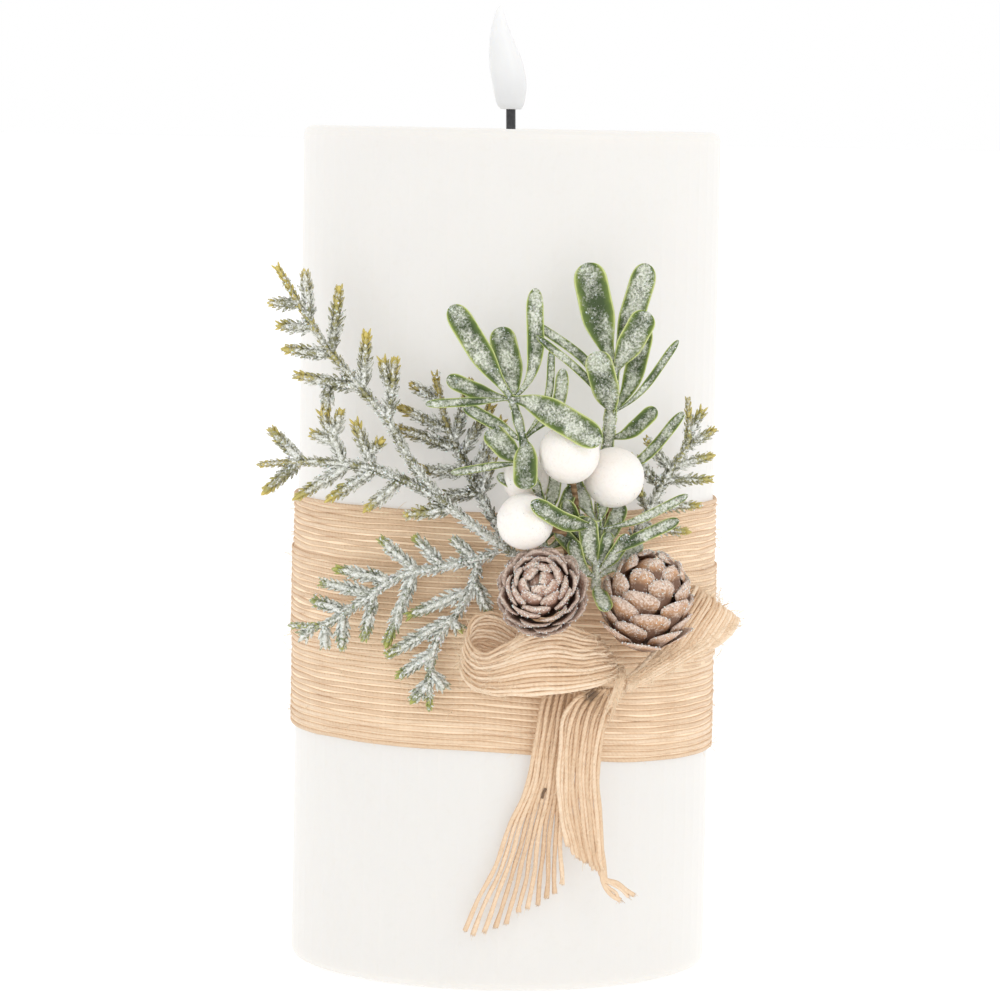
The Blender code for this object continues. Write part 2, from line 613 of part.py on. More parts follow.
def make_housing():
    shell = lathe([(0, 0), (HOUSING_R - HOUSING_EDGE, 0), (HOUSING_R, HOUSING_EDGE),
                   (HOUSING_R, HOUSING_TOP), (0, HOUSING_TOP)], 48, False)
    housing = place("base_housing", shell, "white_plastic")
    inner = HOUSING_R - HOUSING_WALL
    top = HOUSING_TOP + OVERSHOOT
    combine(housing, rod((0, 0), inner, ROOF_TOP, top, 48), "DIFFERENCE")
    for way in (1, -1):
        combine(housing, prism(bmesh.new(), side_bay(way), FLOOR, top), "DIFFERENCE")
    combine(housing, box(bmesh.new(), (-BAY_X, -BAY_Y, -OVERSHOOT), (BAY_X, BAY_Y, BAY_TOP)), "DIFFERENCE")
    recess = box(bmesh.new(), (-DOOR_X - GAP, -DOOR_Y - GAP, -OVERSHOOT),
                 (DOOR_X + GAP, DOOR_Y + GAP, DOOR_THICK + GAP))
    combine(housing, recess, "DIFFERENCE")
    pockets = bmesh.new()
    for way in (1, -1):
        half = TONGUE_HALF_WIDTH + TONGUE_SIDE_GAP
        box(pockets, (-DOOR_X - TONGUE_POCKET_REACH, way * TONGUE_Y - half, TONGUE_POCKET_LOW),
            (-BAY_X + OVERSHOOT / 2, way * TONGUE_Y + half, TONGUE_POCKET_TOP))
    combine(housing, pockets, "DIFFERENCE")
    for half_x, half_y, depth in (SWITCH_RECESS, SWITCH_SLOT):
        opening = box(bmesh.new(), (-half_x, SWITCH_Y - half_y, -OVERSHOOT),
                      (half_x, SWITCH_Y + half_y, depth))
        combine(housing, opening, "DIFFERENCE")
    slots = bmesh.new()
    for way in (1, -1):
        box(slots, (-BAY_X, way * CELL_Y - PLATE_SLOT_HALF, BAY_TOP - OVERSHOOT),
            (PLATE_SLOT_X, way * CELL_Y + PLATE_SLOT_HALF, ROOF_TOP + OVERSHOOT))
    combine(housing, slots, "DIFFERENCE")
    for centre in BOSSES:
        combine(housing, rod(centre, BOSS_R, FLOOR - 0.5, HOUSING_TOP - 0.2, 16), "UNION")
        combine(housing, rod(centre, SCREW_R + GAP, 10, top, 12), "DIFFERENCE")
    for way in (1, -1):
        combine(housing, rod((way * PIN_X, PIN_Y), PIN_R, ROOF_TOP - 0.5, BOARD_TOP + 0.6, 12), "UNION")


def make_cover():
    low = HOUSING_TOP + GAP
    high = low + COVER_THICK
    ring = lathe([(GROMMET_BORE_R, low), (COVER_R, low), (COVER_R, high), (GROMMET_R, high),
                  (GROMMET_R, high + GROMMET_HEIGHT), (GROMMET_BORE_R, high + GROMMET_HEIGHT)], 48)
    cover = place("housing_cover", ring, "white_plastic")
    for centre in BOSSES:
        hole = rod(centre, SCREW_R + GAP, low - OVERSHOOT, high + OVERSHOOT, 12)
        combine(cover, hole, "DIFFERENCE")
    head = high + GAP
    top = head + SCREW_HEAD_HEIGHT
    for i, centre in enumerate(BOSSES, 1):
        profile = [(0, SCREW_LOW), (SCREW_R * 0.4, SCREW_LOW), (SCREW_R, SCREW_LOW + SCREW_POINT),
                   (SCREW_R, head), (SCREW_HEAD_R, head), (SCREW_HEAD_R, head + SCREW_HEAD_RIM),
                   (SCREW_HEAD_TOP_R, top), (0, top)]
        screw = place(f"cover_screw_{i}", lathe(profile, 12, False, centre), "steel")
        x, y = centre
        for half_x, half_y in ((CROSS_REACH, CROSS_HALF_WIDTH), (CROSS_HALF_WIDTH, CROSS_REACH)):
            cross = box(bmesh.new(), (x - half_x, y - half_y, top - CROSS_DEPTH),
                        (x + half_x, y + half_y, top + OVERSHOOT))
            combine(screw, cross, "DIFFERENCE")


def make_door():
    """The battery door; its origin is the lower corner of its tongue edge."""
    hinge = (-DOOR_X, 0.0, 0.0)
    panel = box(bmesh.new(), (-DOOR_X, -DOOR_Y, 0), (DOOR_X, DOOR_Y, DOOR_THICK))
    door = place("battery_door", panel, "white_plastic", hinge)
    tongues = bmesh.new()
    for way in (1, -1):
        box(tongues, (-DOOR_X - TONGUE_REACH, way * TONGUE_Y - TONGUE_HALF_WIDTH, TONGUE_LOW),
            (-DOOR_X + 1.2, way * TONGUE_Y + TONGUE_HALF_WIDTH, TONGUE_TOP))
    combine(door, tongues, "UNION")
    slits = bmesh.new()
    for low in (LATCH_HALF_WIDTH, -LATCH_HALF_WIDTH - LATCH_SLIT):
        box(slits, (LATCH_ROOT_X, low, -OVERSHOOT),
            (DOOR_X + OVERSHOOT, low + LATCH_SLIT, DOOR_THICK + OVERSHOOT))
    combine(door, slits, "DIFFERENCE")
    grips = bmesh.new()
    for i in range(GRIP_COUNT):
        x = GRIP_X + GRIP_PITCH * i
        box(grips, (x, -GRIP_HALF_LENGTH, -OVERSHOOT), (x + GRIP_WIDE, GRIP_HALF_LENGTH, GRIP_DEPTH))
    combine(door, grips, "DIFFERENCE")


def make_cells():
    body_end = CELL_END - NUB_LENGTH
    negative_end = body_end - CELL_LENGTH
    profile = [(0, negative_end), (5.6, negative_end), (CELL_R, negative_end + 0.5),
               (CELL_R, body_end - 0.5), (CELL_R - 0.5, body_end), (NUB_R, body_end),
               (NUB_R, CELL_END - 0.3), (NUB_R - 0.3, CELL_END), (0, CELL_END)]
    for name, way in (("battery_1", -1), ("battery_2", 1)):
        bm = lathe([(r, x * way) for r, x in profile], 24, False, axis="X")
        bmesh.ops.translate(bm, verts=bm.verts, vec=(0, -way * CELL_Y, CELL_Z))
        place(name, bm, "cell_jacket")
    plate_far = PLATE_X + PLATE_THICK
    for name, way in (("contact_plate_positive", 1), ("contact_plate_negative", -1)):
        y = way * CELL_Y
        plate = place(name, box(bmesh.new(), (-plate_far, y - PLATE_HALF_Y, PLATE_LOW),
                                (-PLATE_X, y + PLATE_HALF_Y, PLATE_TOP)), "steel")
        tail = box(bmesh.new(), (-plate_far, y - TAIL_HALF_Y, PLATE_TOP - OVERSHOOT),
                   (-PLATE_X, y + TAIL_HALF_Y, TAIL_TOP))
        combine(plate, tail, "UNION")
    bridge = box(bmesh.new(), (PLATE_X, -CELL_Y - PLATE_HALF_Y, PLATE_LOW),
                 (plate_far, CELL_Y + PLATE_HALF_Y, PLATE_TOP))
    place("contact_bridge", bridge, "steel")
    for name, way in (("contact_spring_1", 1), ("contact_spring_2", -1)):
        place(name, spring(way), "steel")


def spring(way):
    """A flat conical coil between a battery's flat end and its contact plate."""
    near, far = SPRING_START_X, PLATE_X - GAP - SPRING_WIRE_R
    small, large = SPRING_RADII
    count = int(SPRING_TURNS * 12)
    points = []
    for i in range(count + 1):
        part = i / count
        turn = 2 * math.pi * SPRING_TURNS * part
        radius = small + (large - small) * part
        points.append(Vector((way * (near + (far - near) * part),
                              way * CELL_Y + radius * math.cos(turn),
                              CELL_Z + radius * math.sin(turn))))
    return sweep(bmesh.new(), points, [(SPRING_WIRE_R, SPRING_WIRE_R)] * len(points), (1, 0, 0), 5)


def make_board():
    board = place("circuit_board", box(bmesh.new(), (BOARD_X[0], -BOARD_Y, BOARD_LOW),
                                       (BOARD_X[1], BOARD_Y, BOARD_TOP)), "board_green")
    holes = bmesh.new()
    for way in (1, -1):
        box(holes, (BOARD_SLOT_X[0], way * CELL_Y - BOARD_SLOT_HALF, BOARD_LOW - OVERSHOOT),
            (BOARD_SLOT_X[1], way * CELL_Y + BOARD_SLOT_HALF, BOARD_TOP + OVERSHOOT))
    combine(board, holes, "DIFFERENCE")
    for way in (1, -1):
        hole = rod((way * PIN_X, PIN_Y), PIN_R + GAP, BOARD_LOW - OVERSHOOT, BOARD_TOP + OVERSHOOT, 12)
        combine(board, hole, "DIFFERENCE")
    top = BOARD_TOP + GAP
    dome = arc((0, top - CHIP_SINK), CHIP_R, 42, 90, 5)
    chip = lathe([(0, top), *dome[:-1], (0, top + CHIP_HEIGHT)], 24, False, CHIP_AT)
    place("controller_chip", chip, "black_plastic")
    can = lathe([(0, top), (2.4, top), (2.5, top + 0.6), (2.5, top + 4.8), (2.1, top + 5.1),
                 (0, top + 5.1)], 20, False, CAPACITOR_AT)
    place("capacitor", can, "black_plastic")
    body = [(0, -5.5), (0.3, -5.5), (0.3, -3.2), (1.1, -2.9), (1.25, -2.2), (0.95, -1.6),
            (0.95, 1.6), (1.25, 2.2), (1.1, 2.9), (0.3, 3.2), (0.3, 5.5), (0, 5.5)]
    resistor = lathe(body, 14, False, axis="X")
    bmesh.ops.translate(resistor, verts=resistor.verts, vec=Vector(RESISTOR_AT) + Vector((0, 0, top)))
    place("resistor", resistor, "resistor_tan")
    crystal = lathe([(0, -3), (1.4, -3), (1.5, -2.7), (1.5, 2.8), (1.3, 3.1), (0, 3.1)],
                    16, False, axis="X")
    bmesh.ops.translate(crystal, verts=crystal.verts, vec=Vector(CRYSTAL_AT) + Vector((0, 0, top)))
    place("timing_crystal", crystal, "steel")


def make_switch():
    half_x, half_y = SWITCH_HALF
    body = place("switch_body", box(bmesh.new(), (-half_x, SWITCH_Y - half_y, SWITCH_LOW),
                                    (half_x, SWITCH_Y + half_y, SWITCH_TOP)), "steel")
    half_x, half_y = SWITCH_POCKET_HALF
    pocket = box(bmesh.new(), (-half_x, SWITCH_Y - half_y, SWITCH_LOW - OVERSHOOT),
                 (half_x, SWITCH_Y + half_y, SWITCH_POCKET_TOP))
    combine(body, pocket, "DIFFERENCE")
    half_x, half_y = SWITCH_LEG_HALF
    legs = bmesh.new()
    for x in SWITCH_LEGS:
        box(legs, (x - half_x, SWITCH_Y - half_y, SWITCH_TOP - 0.5),
            (x + half_x, SWITCH_Y + half_y, SWITCH_LEG_TOP))
    combine(body, legs, "UNION")
    pad, post, slider = (box(bmesh.new(), (-x, SWITCH_Y - y, low), (x, SWITCH_Y + y, high))
                         for x, y, low, high in KNOB_PARTS)
    knob = place("switch_knob", pad, "black_plastic")
    combine(knob, post, "UNION")
    combine(knob, slider, "UNION")


def make_wrap():
    profile = []
    for low, high, radius in WRAP_TURNS:
        profile += [(radius, low), (radius, high)]
    profile += [(WRAP_INNER_R, WRAP_TURNS[-1][1]), (WRAP_INNER_R, WRAP_TURNS[0][0])]
    place("jute_wrap", lathe(profile, 60), "jute")


def band(name, rows, width_way):
    """A flat ribbon along rows of (centre, half width), its width kept near one direction."""
    path = smooth_path([(*point, half) for point, half in rows], 3)
    bm = bmesh.new()
    rings = []
    for i, row in enumerate(path):
        along = (path[min(i + 1, len(path) - 1)] - path[max(i - 1, 0)]).xyz.normalized()
        wide = (width_way - along * along.dot(width_way)).normalized()
        out = along.cross(wide)
        half = row[3]
        corners = ((half, BAND_HALF_THICK), (half, -BAND_HALF_THICK),
                   (-half, -BAND_HALF_THICK), (-half, BAND_HALF_THICK))
        rings.append([bm.verts.new(row.xyz + wide * a + out * b) for a, b in corners])
    for low, high in zip(rings, rings[1:]):
        for side in range(4):
            after = (side + 1) % 4
            bm.faces.new((low[side], low[after], high[after], high[side]))
    bm.faces.new(rings[0][::-1])
    bm.faces.new(rings[-1])
    place(name, bm, "jute")


def make_bow():
    sideways, upright = Vector((1, 0, 0)), Vector((0, 0, 1))
    band("bow_loop_left", LOOP_LEFT, upright)
    band("bow_loop_right", LOOP_RIGHT, upright)
    band("bow_tail_left", TAIL_LEFT, sideways)
    band("bow_tail_right", TAIL_RIGHT, sideways)
    x, y, z = KNOT
    points = [Vector((x + dx, y, z + dz)) for dx, dz, _ in KNOT_ROWS]
    halves = [half for _, _, half in KNOT_ROWS]
    place("bow_knot", sweep(bmesh.new(), points, halves, sides=12), "jute")


def make_berries():
    for i, (centre, radius, stem) in enumerate(BERRIES, 1):
        bm = bmesh.new()
        bmesh.ops.create_icosphere(bm, subdivisions=3, radius=radius)
        bmesh.ops.translate(bm, verts=bm.verts, vec=centre)
        place(f"berry_{i}", bm, "foam_berry")
        middle = Vector(centre)
        toward = (Vector(stem[-1]) - middle).normalized()
        end = middle + toward * (radius + GAP)
        place(f"berry_stem_{i}", tube([*stem, end], BERRY_STEM_R), "stem_brown")


def make_cones():
    for name, (centre, half_width, half_length, way) in CONES.items():
        bm = bmesh.new()
        bmesh.ops.create_uvsphere(bm, u_segments=24, v_segments=14, radius=1.0)
        turn = Vector((0, 0, 1)).rotation_difference(Vector(way))
        for vert in bm.verts:
            around = math.atan2(vert.co.y, vert.co.x)
            down = math.acos(max(-1.0, min(1.0, vert.co.z)))
            bump = math.cos(CONE_ROWS * down) * math.cos(CONE_LOBES * around)
            swell = 1 - CONE_RELIEF + CONE_RELIEF * bump
            size = Vector((half_width, half_width, half_length)) * swell
            vert.co = turn @ (vert.co * size) + Vector(centre)
        place(name, bm, "cone_scale")


def make_glue_pads():
    for name, (centre, halves) in GLUE_PADS.items():
        bm = bmesh.new()
        bmesh.ops.create_icosphere(bm, subdivisions=2, radius=1.0)
        bmesh.ops.scale(bm, verts=bm.verts, vec=halves)
        bmesh.ops.translate(bm, verts=bm.verts, vec=centre)
        place(name, bm, "hot_glue")


def spray_point(x, z, layer):
    """A point of a flat spray, bent back around the candle."""
    return Vector((x, layer + SPRAY_BEND * x * x, z))


def make_junipers():
    for name, spray in JUNIPER.items():
        stems = [twig(points, spray["layer"], SPRAY_STEM_R, 1) for points in spray["stems"]]
        twigs = [twig(points, spray["layer"], SPRAY_TWIG_R, 2) for points in spray["twigs"]]
        place(name, fuse(stems[0], stems[1:] + twigs), "juniper_green")


def twig(points, layer, radius, steps):
    """A round twig, thickest past its root and thin at its tip."""
    path = smooth_path([spray_point(x, z, layer) for x, z in points], steps)
    last = len(path) - 1
    radii = [radius if i < last else SPRAY_TIP_R for i in range(last + 1)]
    return sweep(bmesh.new(), path, [(r, r) for r in radii], sides=5)


def make_mistletoe():
    for name, bunch in MISTLETOE.items():
        leaves = []
        for i, (root, shoulder, tip, width) in enumerate(bunch["leaves"]):
            root = Vector(root) + Vector((0.04, 0.03, 0.09)) * (i % 5)
            facing = (0.25 * math.sin(1.3 * i), -1.0, 0.2 * math.cos(2.1 * i))
            leaves.append(leaf(root, shoulder, tip, width, facing))
        place(name, fuse(tube(bunch["stem"], LEAF_STEM_R, 2, 6), leaves), "leaf_green")


def leaf(root, shoulder, tip, width, facing):
    """A flat leaf blade with a narrow root and a round tip."""
    path = smooth_path((root, shoulder, tip), 4)
    halves = [(max(LEAF_HALF_THICK, width / 2 * part), LEAF_HALF_THICK) for part in LEAF_FULLNESS]
    return sweep(bmesh.new(), path, halves, facing, 4)


def main():
    for old in list(bpy.data.objects):
        bpy.data.objects.remove(old, do_unlink=True)
    make_wax_shell()
    make_flame()
    make_wick()
    make_lead_wires()
    make_housing()
    make_cover()
    make_door()
    make_cells()
    make_board()
    make_switch()
    make_wrap()
    make_bow()
    make_berries()
    make_cones()
    make_glue_pads()
    make_junipers()
    make_mistletoe()


main()
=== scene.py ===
"""Looks for a flameless LED candle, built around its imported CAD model.

Shapes are worked out in millimetres, in the frame of the CAD model: the candle's
axis is Z, it stands on Z = 0, and its decorated side faces -Y.
"""
import math
import random

import bpy
from mathutils import Matrix, Vector, noise


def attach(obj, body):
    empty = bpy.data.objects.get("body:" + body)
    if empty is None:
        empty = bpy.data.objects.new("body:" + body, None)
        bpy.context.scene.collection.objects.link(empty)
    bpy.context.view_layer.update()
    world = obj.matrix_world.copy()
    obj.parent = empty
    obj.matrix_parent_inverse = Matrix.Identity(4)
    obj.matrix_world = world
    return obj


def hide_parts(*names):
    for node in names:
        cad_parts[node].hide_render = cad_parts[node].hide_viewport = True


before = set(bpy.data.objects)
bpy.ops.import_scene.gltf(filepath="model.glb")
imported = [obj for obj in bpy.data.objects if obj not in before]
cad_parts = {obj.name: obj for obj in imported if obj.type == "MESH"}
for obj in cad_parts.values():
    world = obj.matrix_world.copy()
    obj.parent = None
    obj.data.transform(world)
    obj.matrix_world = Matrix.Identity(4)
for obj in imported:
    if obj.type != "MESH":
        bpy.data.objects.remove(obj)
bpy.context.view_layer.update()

MM = 0.001
BODY = "candle"
FRONT = Vector((0.0, -1.0, 0.0))
UP = Vector((0.0, 0.0, 1.0))
GOLDEN_ANGLE = 2.39996

# Camera
EYE = (0.0, -829.65, 151.48)
LENS_MM = 165.5
SENSOR_MM = 36.0
LOOK_DOWN = 0.0824
LOOK_ASIDE = -0.0012
ROLL = 0.0189
EYE_Z_AT_FRONT = 83.6
FRONT_PLANE_Y = -42.0

# Light and floor
SKY_STRENGTH = 1.0
AIM = (0.0, 0.0, 0.085)
# each lamp: name, place in metres, size, watts, colour
LAMPS = (("key", (0.75, -1.05, 0.75), 0.8, 1.9, (1.0, 0.985, 0.96)),
         ("fill", (-0.35, -1.3, 0.55), 1.0, 0.5, (0.97, 0.985, 1.0)))
FLOOR_REACH = 30.0
FLOOR_SQUARES = 8
FLOOR_DROP = 0.0002

# Jute ribbon
STRAND_R = 0.5
WRAP_PITCH = 1.04
WRAP_STEPS = 168
BACKING_STEPS = 120
BACKING_R = 37.6
# each turn: lower edge, lanes, radius, and lanes tucked in at the top (bottom if negative)
WRAP_TURNS = ((42.2, 17, 38.08, 2), (57.9, 16, 38.26, 0), (71.6, 12, 37.96, -3))
LOOP_STRANDS = 16
# how many stray fibres each kind of piece has, and how long they are
FUZZ = {"wrap": (900, (1.0, 4.0)), "loop": (420, (1.0, 4.2)), "tail": (150, (0.8, 2.6)),
        "knot": (60, (1.0, 3.0))}


# ---------------------------------------------------------------- geometry

class Shell:
    """Points and faces in millimetres, with a map, a tone and a finish number."""

    def __init__(self):
        self.points, self.tones, self.faces, self.maps, self.kinds = [], [], [], [], []

    def face(self, corners, places, kind):
        self.faces.append(corners)
        self.maps.append(places)
        self.kinds.append(kind)

    def grid(self, rows, tone=0.5, closed=False, along=None):
        """Join rings of points; closed joins the last ring to the first, others get caps."""
        start, count, wide = len(self.points), len(rows), len(rows[0])
        tones = tone if isinstance(tone, list) else [tone] * count
        if along is None:
            along = [i / (count - 1) for i in range(count)]
        for row, shade in zip(rows, tones):
            self.points += row
            self.tones += [shade] * wide
        for i in range(count if closed else count - 1):
            low, high = start + i * wide, start + (i + 1) % count * wide
            u, v = along[i], along[i + 1] if i + 1 < count else along[i] + along[1] - along[0]
            for j in range(wide):
                k, a, b = (j + 1) % wide, j / wide, (j + 1) / wide
                self.face((low + j, low + k, high + k, high + j), ((u, a), (u, b), (v, b), (v, a)),
                          0)
        if not closed:
            last = start + (count - 1) * wide
            self.face(tuple(range(start + wide - 1, start - 1, -1)), ((along[0], 0.5),) * wide, 0)
            self.face(tuple(range(last, last + wide)), ((along[-1], 0.5),) * wide, 0)

    def settle(self, name, finishes, slot, *nodes):
        """Make a piece of the candle, standing in for CAD nodes if any are named."""
        mesh = bpy.data.meshes.new(name)
        mesh.from_pydata([tuple(p * MM) for p in self.points], [], self.faces)
        layer = mesh.uv_layers.new(name="map")
        layer.data.foreach_set("uv", [c for places in self.maps for place in places for c in place])
        mesh.attributes.new("tone", "FLOAT", "POINT").data.foreach_set("value", self.tones)
        mesh.polygons.foreach_set("material_index", self.kinds)
        mesh.polygons.foreach_set("use_smooth", [True] * len(self.faces))
        for finish in finishes:
            mesh.materials.append(finish)
        mesh.validate()
        mesh.update()
        piece = bpy.data.objects.new(name, mesh)
        bpy.context.scene.collection.objects.link(piece)
        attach(piece, BODY)
        if nodes:
            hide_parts(*nodes)
        return piece


def seen(x, y, z):
    """The point at depth y that lines up, from the front, with (x, z) on the front plane."""
    size = (y - EYE[1]) / (FRONT_PLANE_Y - EYE[1])
    drop = (y - FRONT_PLANE_Y) * math.tan(LOOK_DOWN)
    return Vector((x * size, y, EYE_Z_AT_FRONT + (z - EYE_Z_AT_FRONT) * size - drop))


def spoke(turn):
    """The level direction at an angle round the candle."""
    return Vector((math.cos(turn), math.sin(turn), 0))


def jitter(dice, reach):
    return Vector([dice.uniform(-reach, reach) for _ in range(3)])


def ease(t):
    t = max(0.0, min(1.0, t))
    return t * t * (3 - 2 * t)


def slope(before, here, after):
    near, far = (here - before).length, (after - here).length
    return ((here - before) * (far / near) + (after - here) * (near / far)) / (near + far)


def smooth_path(points, steps):
    """A smooth curve through points; each point may carry extra numbers."""
    rows = [Vector(point) for point in points]
    rows = [rows[0] * 2 - rows[1], *rows, rows[-1] * 2 - rows[-2]]
    path = []
    for a, b, c, d in zip(rows, rows[1:], rows[2:], rows[3:]):
        leave = slope(a, b, c) * (c - b).length
        arrive = slope(b, c, d) * (c - b).length
        for i in range(steps):
            t = i / steps
            path.append(b * (2 * t**3 - 3 * t**2 + 1) + leave * (t**3 - 2 * t**2 + t)
                        + c * (3 * t**2 - 2 * t**3) + arrive * (t**3 - t**2))
    return [*path, rows[-2]]


def lengths(path):
    total, out = 0.0, [0.0]
    for a, b in zip(path, path[1:]):
        total += (b - a).length
        out.append(total)
    return out


def heading(path, i, closed=False):
    """The way a path runs at one of its points."""
    last = len(path) - 1
    if closed:
        return (path[(i + 1) % len(path)] - path[i - 1]).normalized()
    return (path[min(i + 1, last)] - path[max(i - 1, 0)]).normalized()


def sweep(shell, path, halves, facings, sides=6, tone=0.5, closed=False, scale=1.0):
    """Sweep an oval along a path: half width, half thickness, and the way its flat side looks."""
    rows = []
    for i, point in enumerate(path):
        along = heading(path, i, closed)
        facing = facings[i] if isinstance(facings, list) else facings
        out = facing - along * facing.dot(along)
        if out.length < 1e-4:
            out = along.orthogonal()
        out.normalize()
        across = along.cross(out)
        wide, thick = halves[i] if isinstance(halves, list) else halves
        turns = [math.tau * side / sides for side in range(sides)]
        rows.append([point + across * (wide * math.cos(turn)) + out * (thick * math.sin(turn))
                     for turn in turns])
    shell.grid(rows, tone, closed, [d * scale for d in lengths(path)])


def awl(shell, base, tip, half, tone, out):
    """A small pointed scale leaf."""
    along = tip - base
    across = along.cross(out)
    if across.length < 1e-6:
        across = along.orthogonal()
    across.normalize()
    up = across.cross(along).normalized()
    rows = []
    for part, wide in ((0.0, 0.8), (0.5, 1.0), (0.82, 0.62), (1.0, 0.15)):
        middle = base + along * part
        rows.append([middle + across * (half * wide), middle + up * (half * wide * 0.7),
                     middle - across * (half * wide), middle - up * (half * wide * 0.5)])
    shell.grid(rows, tone)


def crystal(shell, at, dice, size, glitter, flat):
    """A grain of frost or, as often as glitter says, a flake; size and flat are ranges."""
    size = dice.uniform(*size)
    kind = int(dice.random() < glitter) if 0 < glitter < 1 else glitter
    flat = dice.uniform(*flat) if isinstance(flat, tuple) else flat
    turn = Matrix.Rotation(dice.uniform(0, math.tau), 3, "Z") @ \
        Matrix.Rotation(math.acos(dice.uniform(-1, 1)), 3, "X") @ \
        Matrix.Rotation(dice.uniform(0, math.tau), 3, "Z")
    reach = (size, size * dice.uniform(0.6, 1.0), size * flat)
    x, y, z = (turn @ Vector(axis) * r for axis, r in zip(((1, 0, 0), (0, 1, 0), (0, 0, 1)), reach))
    start = len(shell.points)
    shell.points += [at + x, at + y, at - x, at - y, at + z, at - z]
    shell.tones += [0.5] * 6
    for i in range(4):
        j = (i + 1) % 4
        shell.face((start + i, start + j, start + 4), ((0, 0), (1, 0), (1, 1)), kind)
        shell.face((start + j, start + i, start + 5), ((0, 0), (1, 0), (1, 1)), kind)


def hair(shell, at, way, length, dice, radius, tone=0.6):
    """A stray fibre that curls as it goes."""
    path, along = [at], way.normalized()
    for _ in range(5):
        along = (along + jitter(dice, 0.4)).normalized()
        path.append(path[-1] + along * (length / 5))
    halves = [(radius * (1 - 0.12 * i),) * 2 for i in range(6)]
    sweep(shell, path, halves, way.orthogonal().normalized(), 4, tone)


# ---------------------------------------------------------------- materials

class Look:
    """A material built a node at a time. Plain numbers go on the shader's own sockets."""

    def __init__(self, name, **values):
        self.material = bpy.data.materials.new(name)
        self.material.use_nodes = True
        self.tree = self.material.node_tree
        self.shader = self.tree.nodes["Principled BSDF"]
        for key, value in values.items():
            self.shader.inputs[key.replace("_", " ")].default_value = value
        self.object = self.node("ShaderNodeTexCoord").outputs["Object"]

    def link(self, value, socket):
        self.tree.links.new(value, socket)

    def node(self, kind, settings=None, **inputs):
        """Add a node; an input is given by its name, or as i and its number."""
        made = self.tree.nodes.new(kind)
        for key, value in (settings or {}).items():
            setattr(made, key, value)
        for key, value in inputs.items():
            socket = made.inputs[int(key[1:]) if key[1:].isdigit() else key]
            if isinstance(value, bpy.types.NodeSocket):
                self.link(value, socket)
            else:
                socket.default_value = value
        return made

    def noise(self, scale, detail=2.0, rough=0.5, at=None, warp=0.0):
        """Noise on the object's own coordinates; three scales stretch it."""
        if isinstance(scale, tuple):
            at, scale = self.stretch(scale, at or self.object), 1.0
        return self.node("ShaderNodeTexNoise", Vector=at or self.object, Scale=scale, Detail=detail,
                         Roughness=rough, Distortion=warp).outputs["Fac"]

    def stretch(self, scale, at, turn=(0, 0, 0)):
        return self.node("ShaderNodeMapping", Vector=at, Scale=scale,
                         Rotation=turn).outputs["Vector"]

    def ramp(self, factor, *stops):
        """A colour or grey from stops of (place, colour)."""
        made = self.node("ShaderNodeValToRGB", Fac=factor)
        bar = made.color_ramp.elements
        while len(bar) < len(stops):
            bar.new(0.5)
        for element, (place, colour) in zip(bar, stops):
            element.position = place
            element.color = (*colour, 1) if isinstance(colour, tuple) else (colour,) * 3 + (1,)
        return made.outputs["Color"]

    def span(self, factor, low, high):
        """A grey that runs between two values."""
        return self.ramp(factor, (0.0, low), (1.0, high))

    def math(self, operation, *values):
        inputs = {f"i{number}": value for number, value in enumerate(values)}
        return self.node("ShaderNodeMath", {"operation": operation}, **inputs).outputs[0]

    def weigh(self, *pairs, shift=0.0):
        """The sum of values times their weights, and a shift."""
        total = shift
        for value, weight in pairs:
            total = self.math("MULTIPLY_ADD", value, weight, total)
        return total

    def mix(self, factor, a, b, blend="MIX"):
        return self.node("ShaderNodeMix", {"data_type": "RGBA", "blend_type": blend}, i0=factor,
                         i6=a, i7=b).outputs[2]

    def shade(self, amount, base, factor, *stops):
        """Darken a base colour by a ramp."""
        return self.mix(amount, base, self.ramp(factor, *stops), "MULTIPLY")

    def tone(self):
        return self.node("ShaderNodeAttribute", {"attribute_name": "tone"}).outputs["Fac"]

    def uv(self):
        place = self.node("ShaderNodeUVMap", {"uv_map": "map"}).outputs["UV"]
        parts = self.node("ShaderNodeSeparateXYZ", Vector=place).outputs
        return place, parts["X"], parts["Y"]

    def side(self, around):
        """0 on a ring's flat sides and 1 at its two edges."""
        return self.math("ABSOLUTE", self.math("COSINE", self.math("MULTIPLY", around, math.tau)))

    def done(self, colour, gloss=None, *bumps):
        """Finish the material; each bump is (height, depth in metres, strength)."""
        self.link(colour, self.shader.inputs["Base Color"])
        if gloss:
            self.link(gloss, self.shader.inputs["Roughness"])
        last = None
        for height, depth, strength in bumps:
            made = self.node("ShaderNodeBump", Height=height, Distance=depth, Strength=strength)
            if last:
                self.link(last, made.inputs["Normal"])
            last = made.outputs["Normal"]
        if last:
            self.link(last, self.shader.inputs["Normal"])
        return self.material


def wax_look():
    # painted light: the wax glows faintly (emission), which flattens its shading and the shade the
    # greenery casts on it
    look = Look("wax", Subsurface_Weight=0.35, Subsurface_Scale=0.006, Specular_IOR_Level=0.42,
                Subsurface_Radius=(1.0, 0.75, 0.5), Emission_Color=(1.0, 0.98, 0.945, 1.0),
                Emission_Strength=0.35)
    broad, fine = look.noise(38, 3, 0.55, warp=0.4), look.noise(700, 3, 0.6)
    base = look.ramp(broad, (0.3, (0.480, 0.470, 0.452)), (0.7, (0.494, 0.484, 0.466)))
    specked = look.shade(0.6, base, fine, (0.30, (0.97, 0.965, 0.95)), (0.46, 1.0))
    return look.done(specked, look.span(fine, 0.42, 0.62), (broad, 0.0006, 0.35),
                     (fine, 0.00008, 0.5))


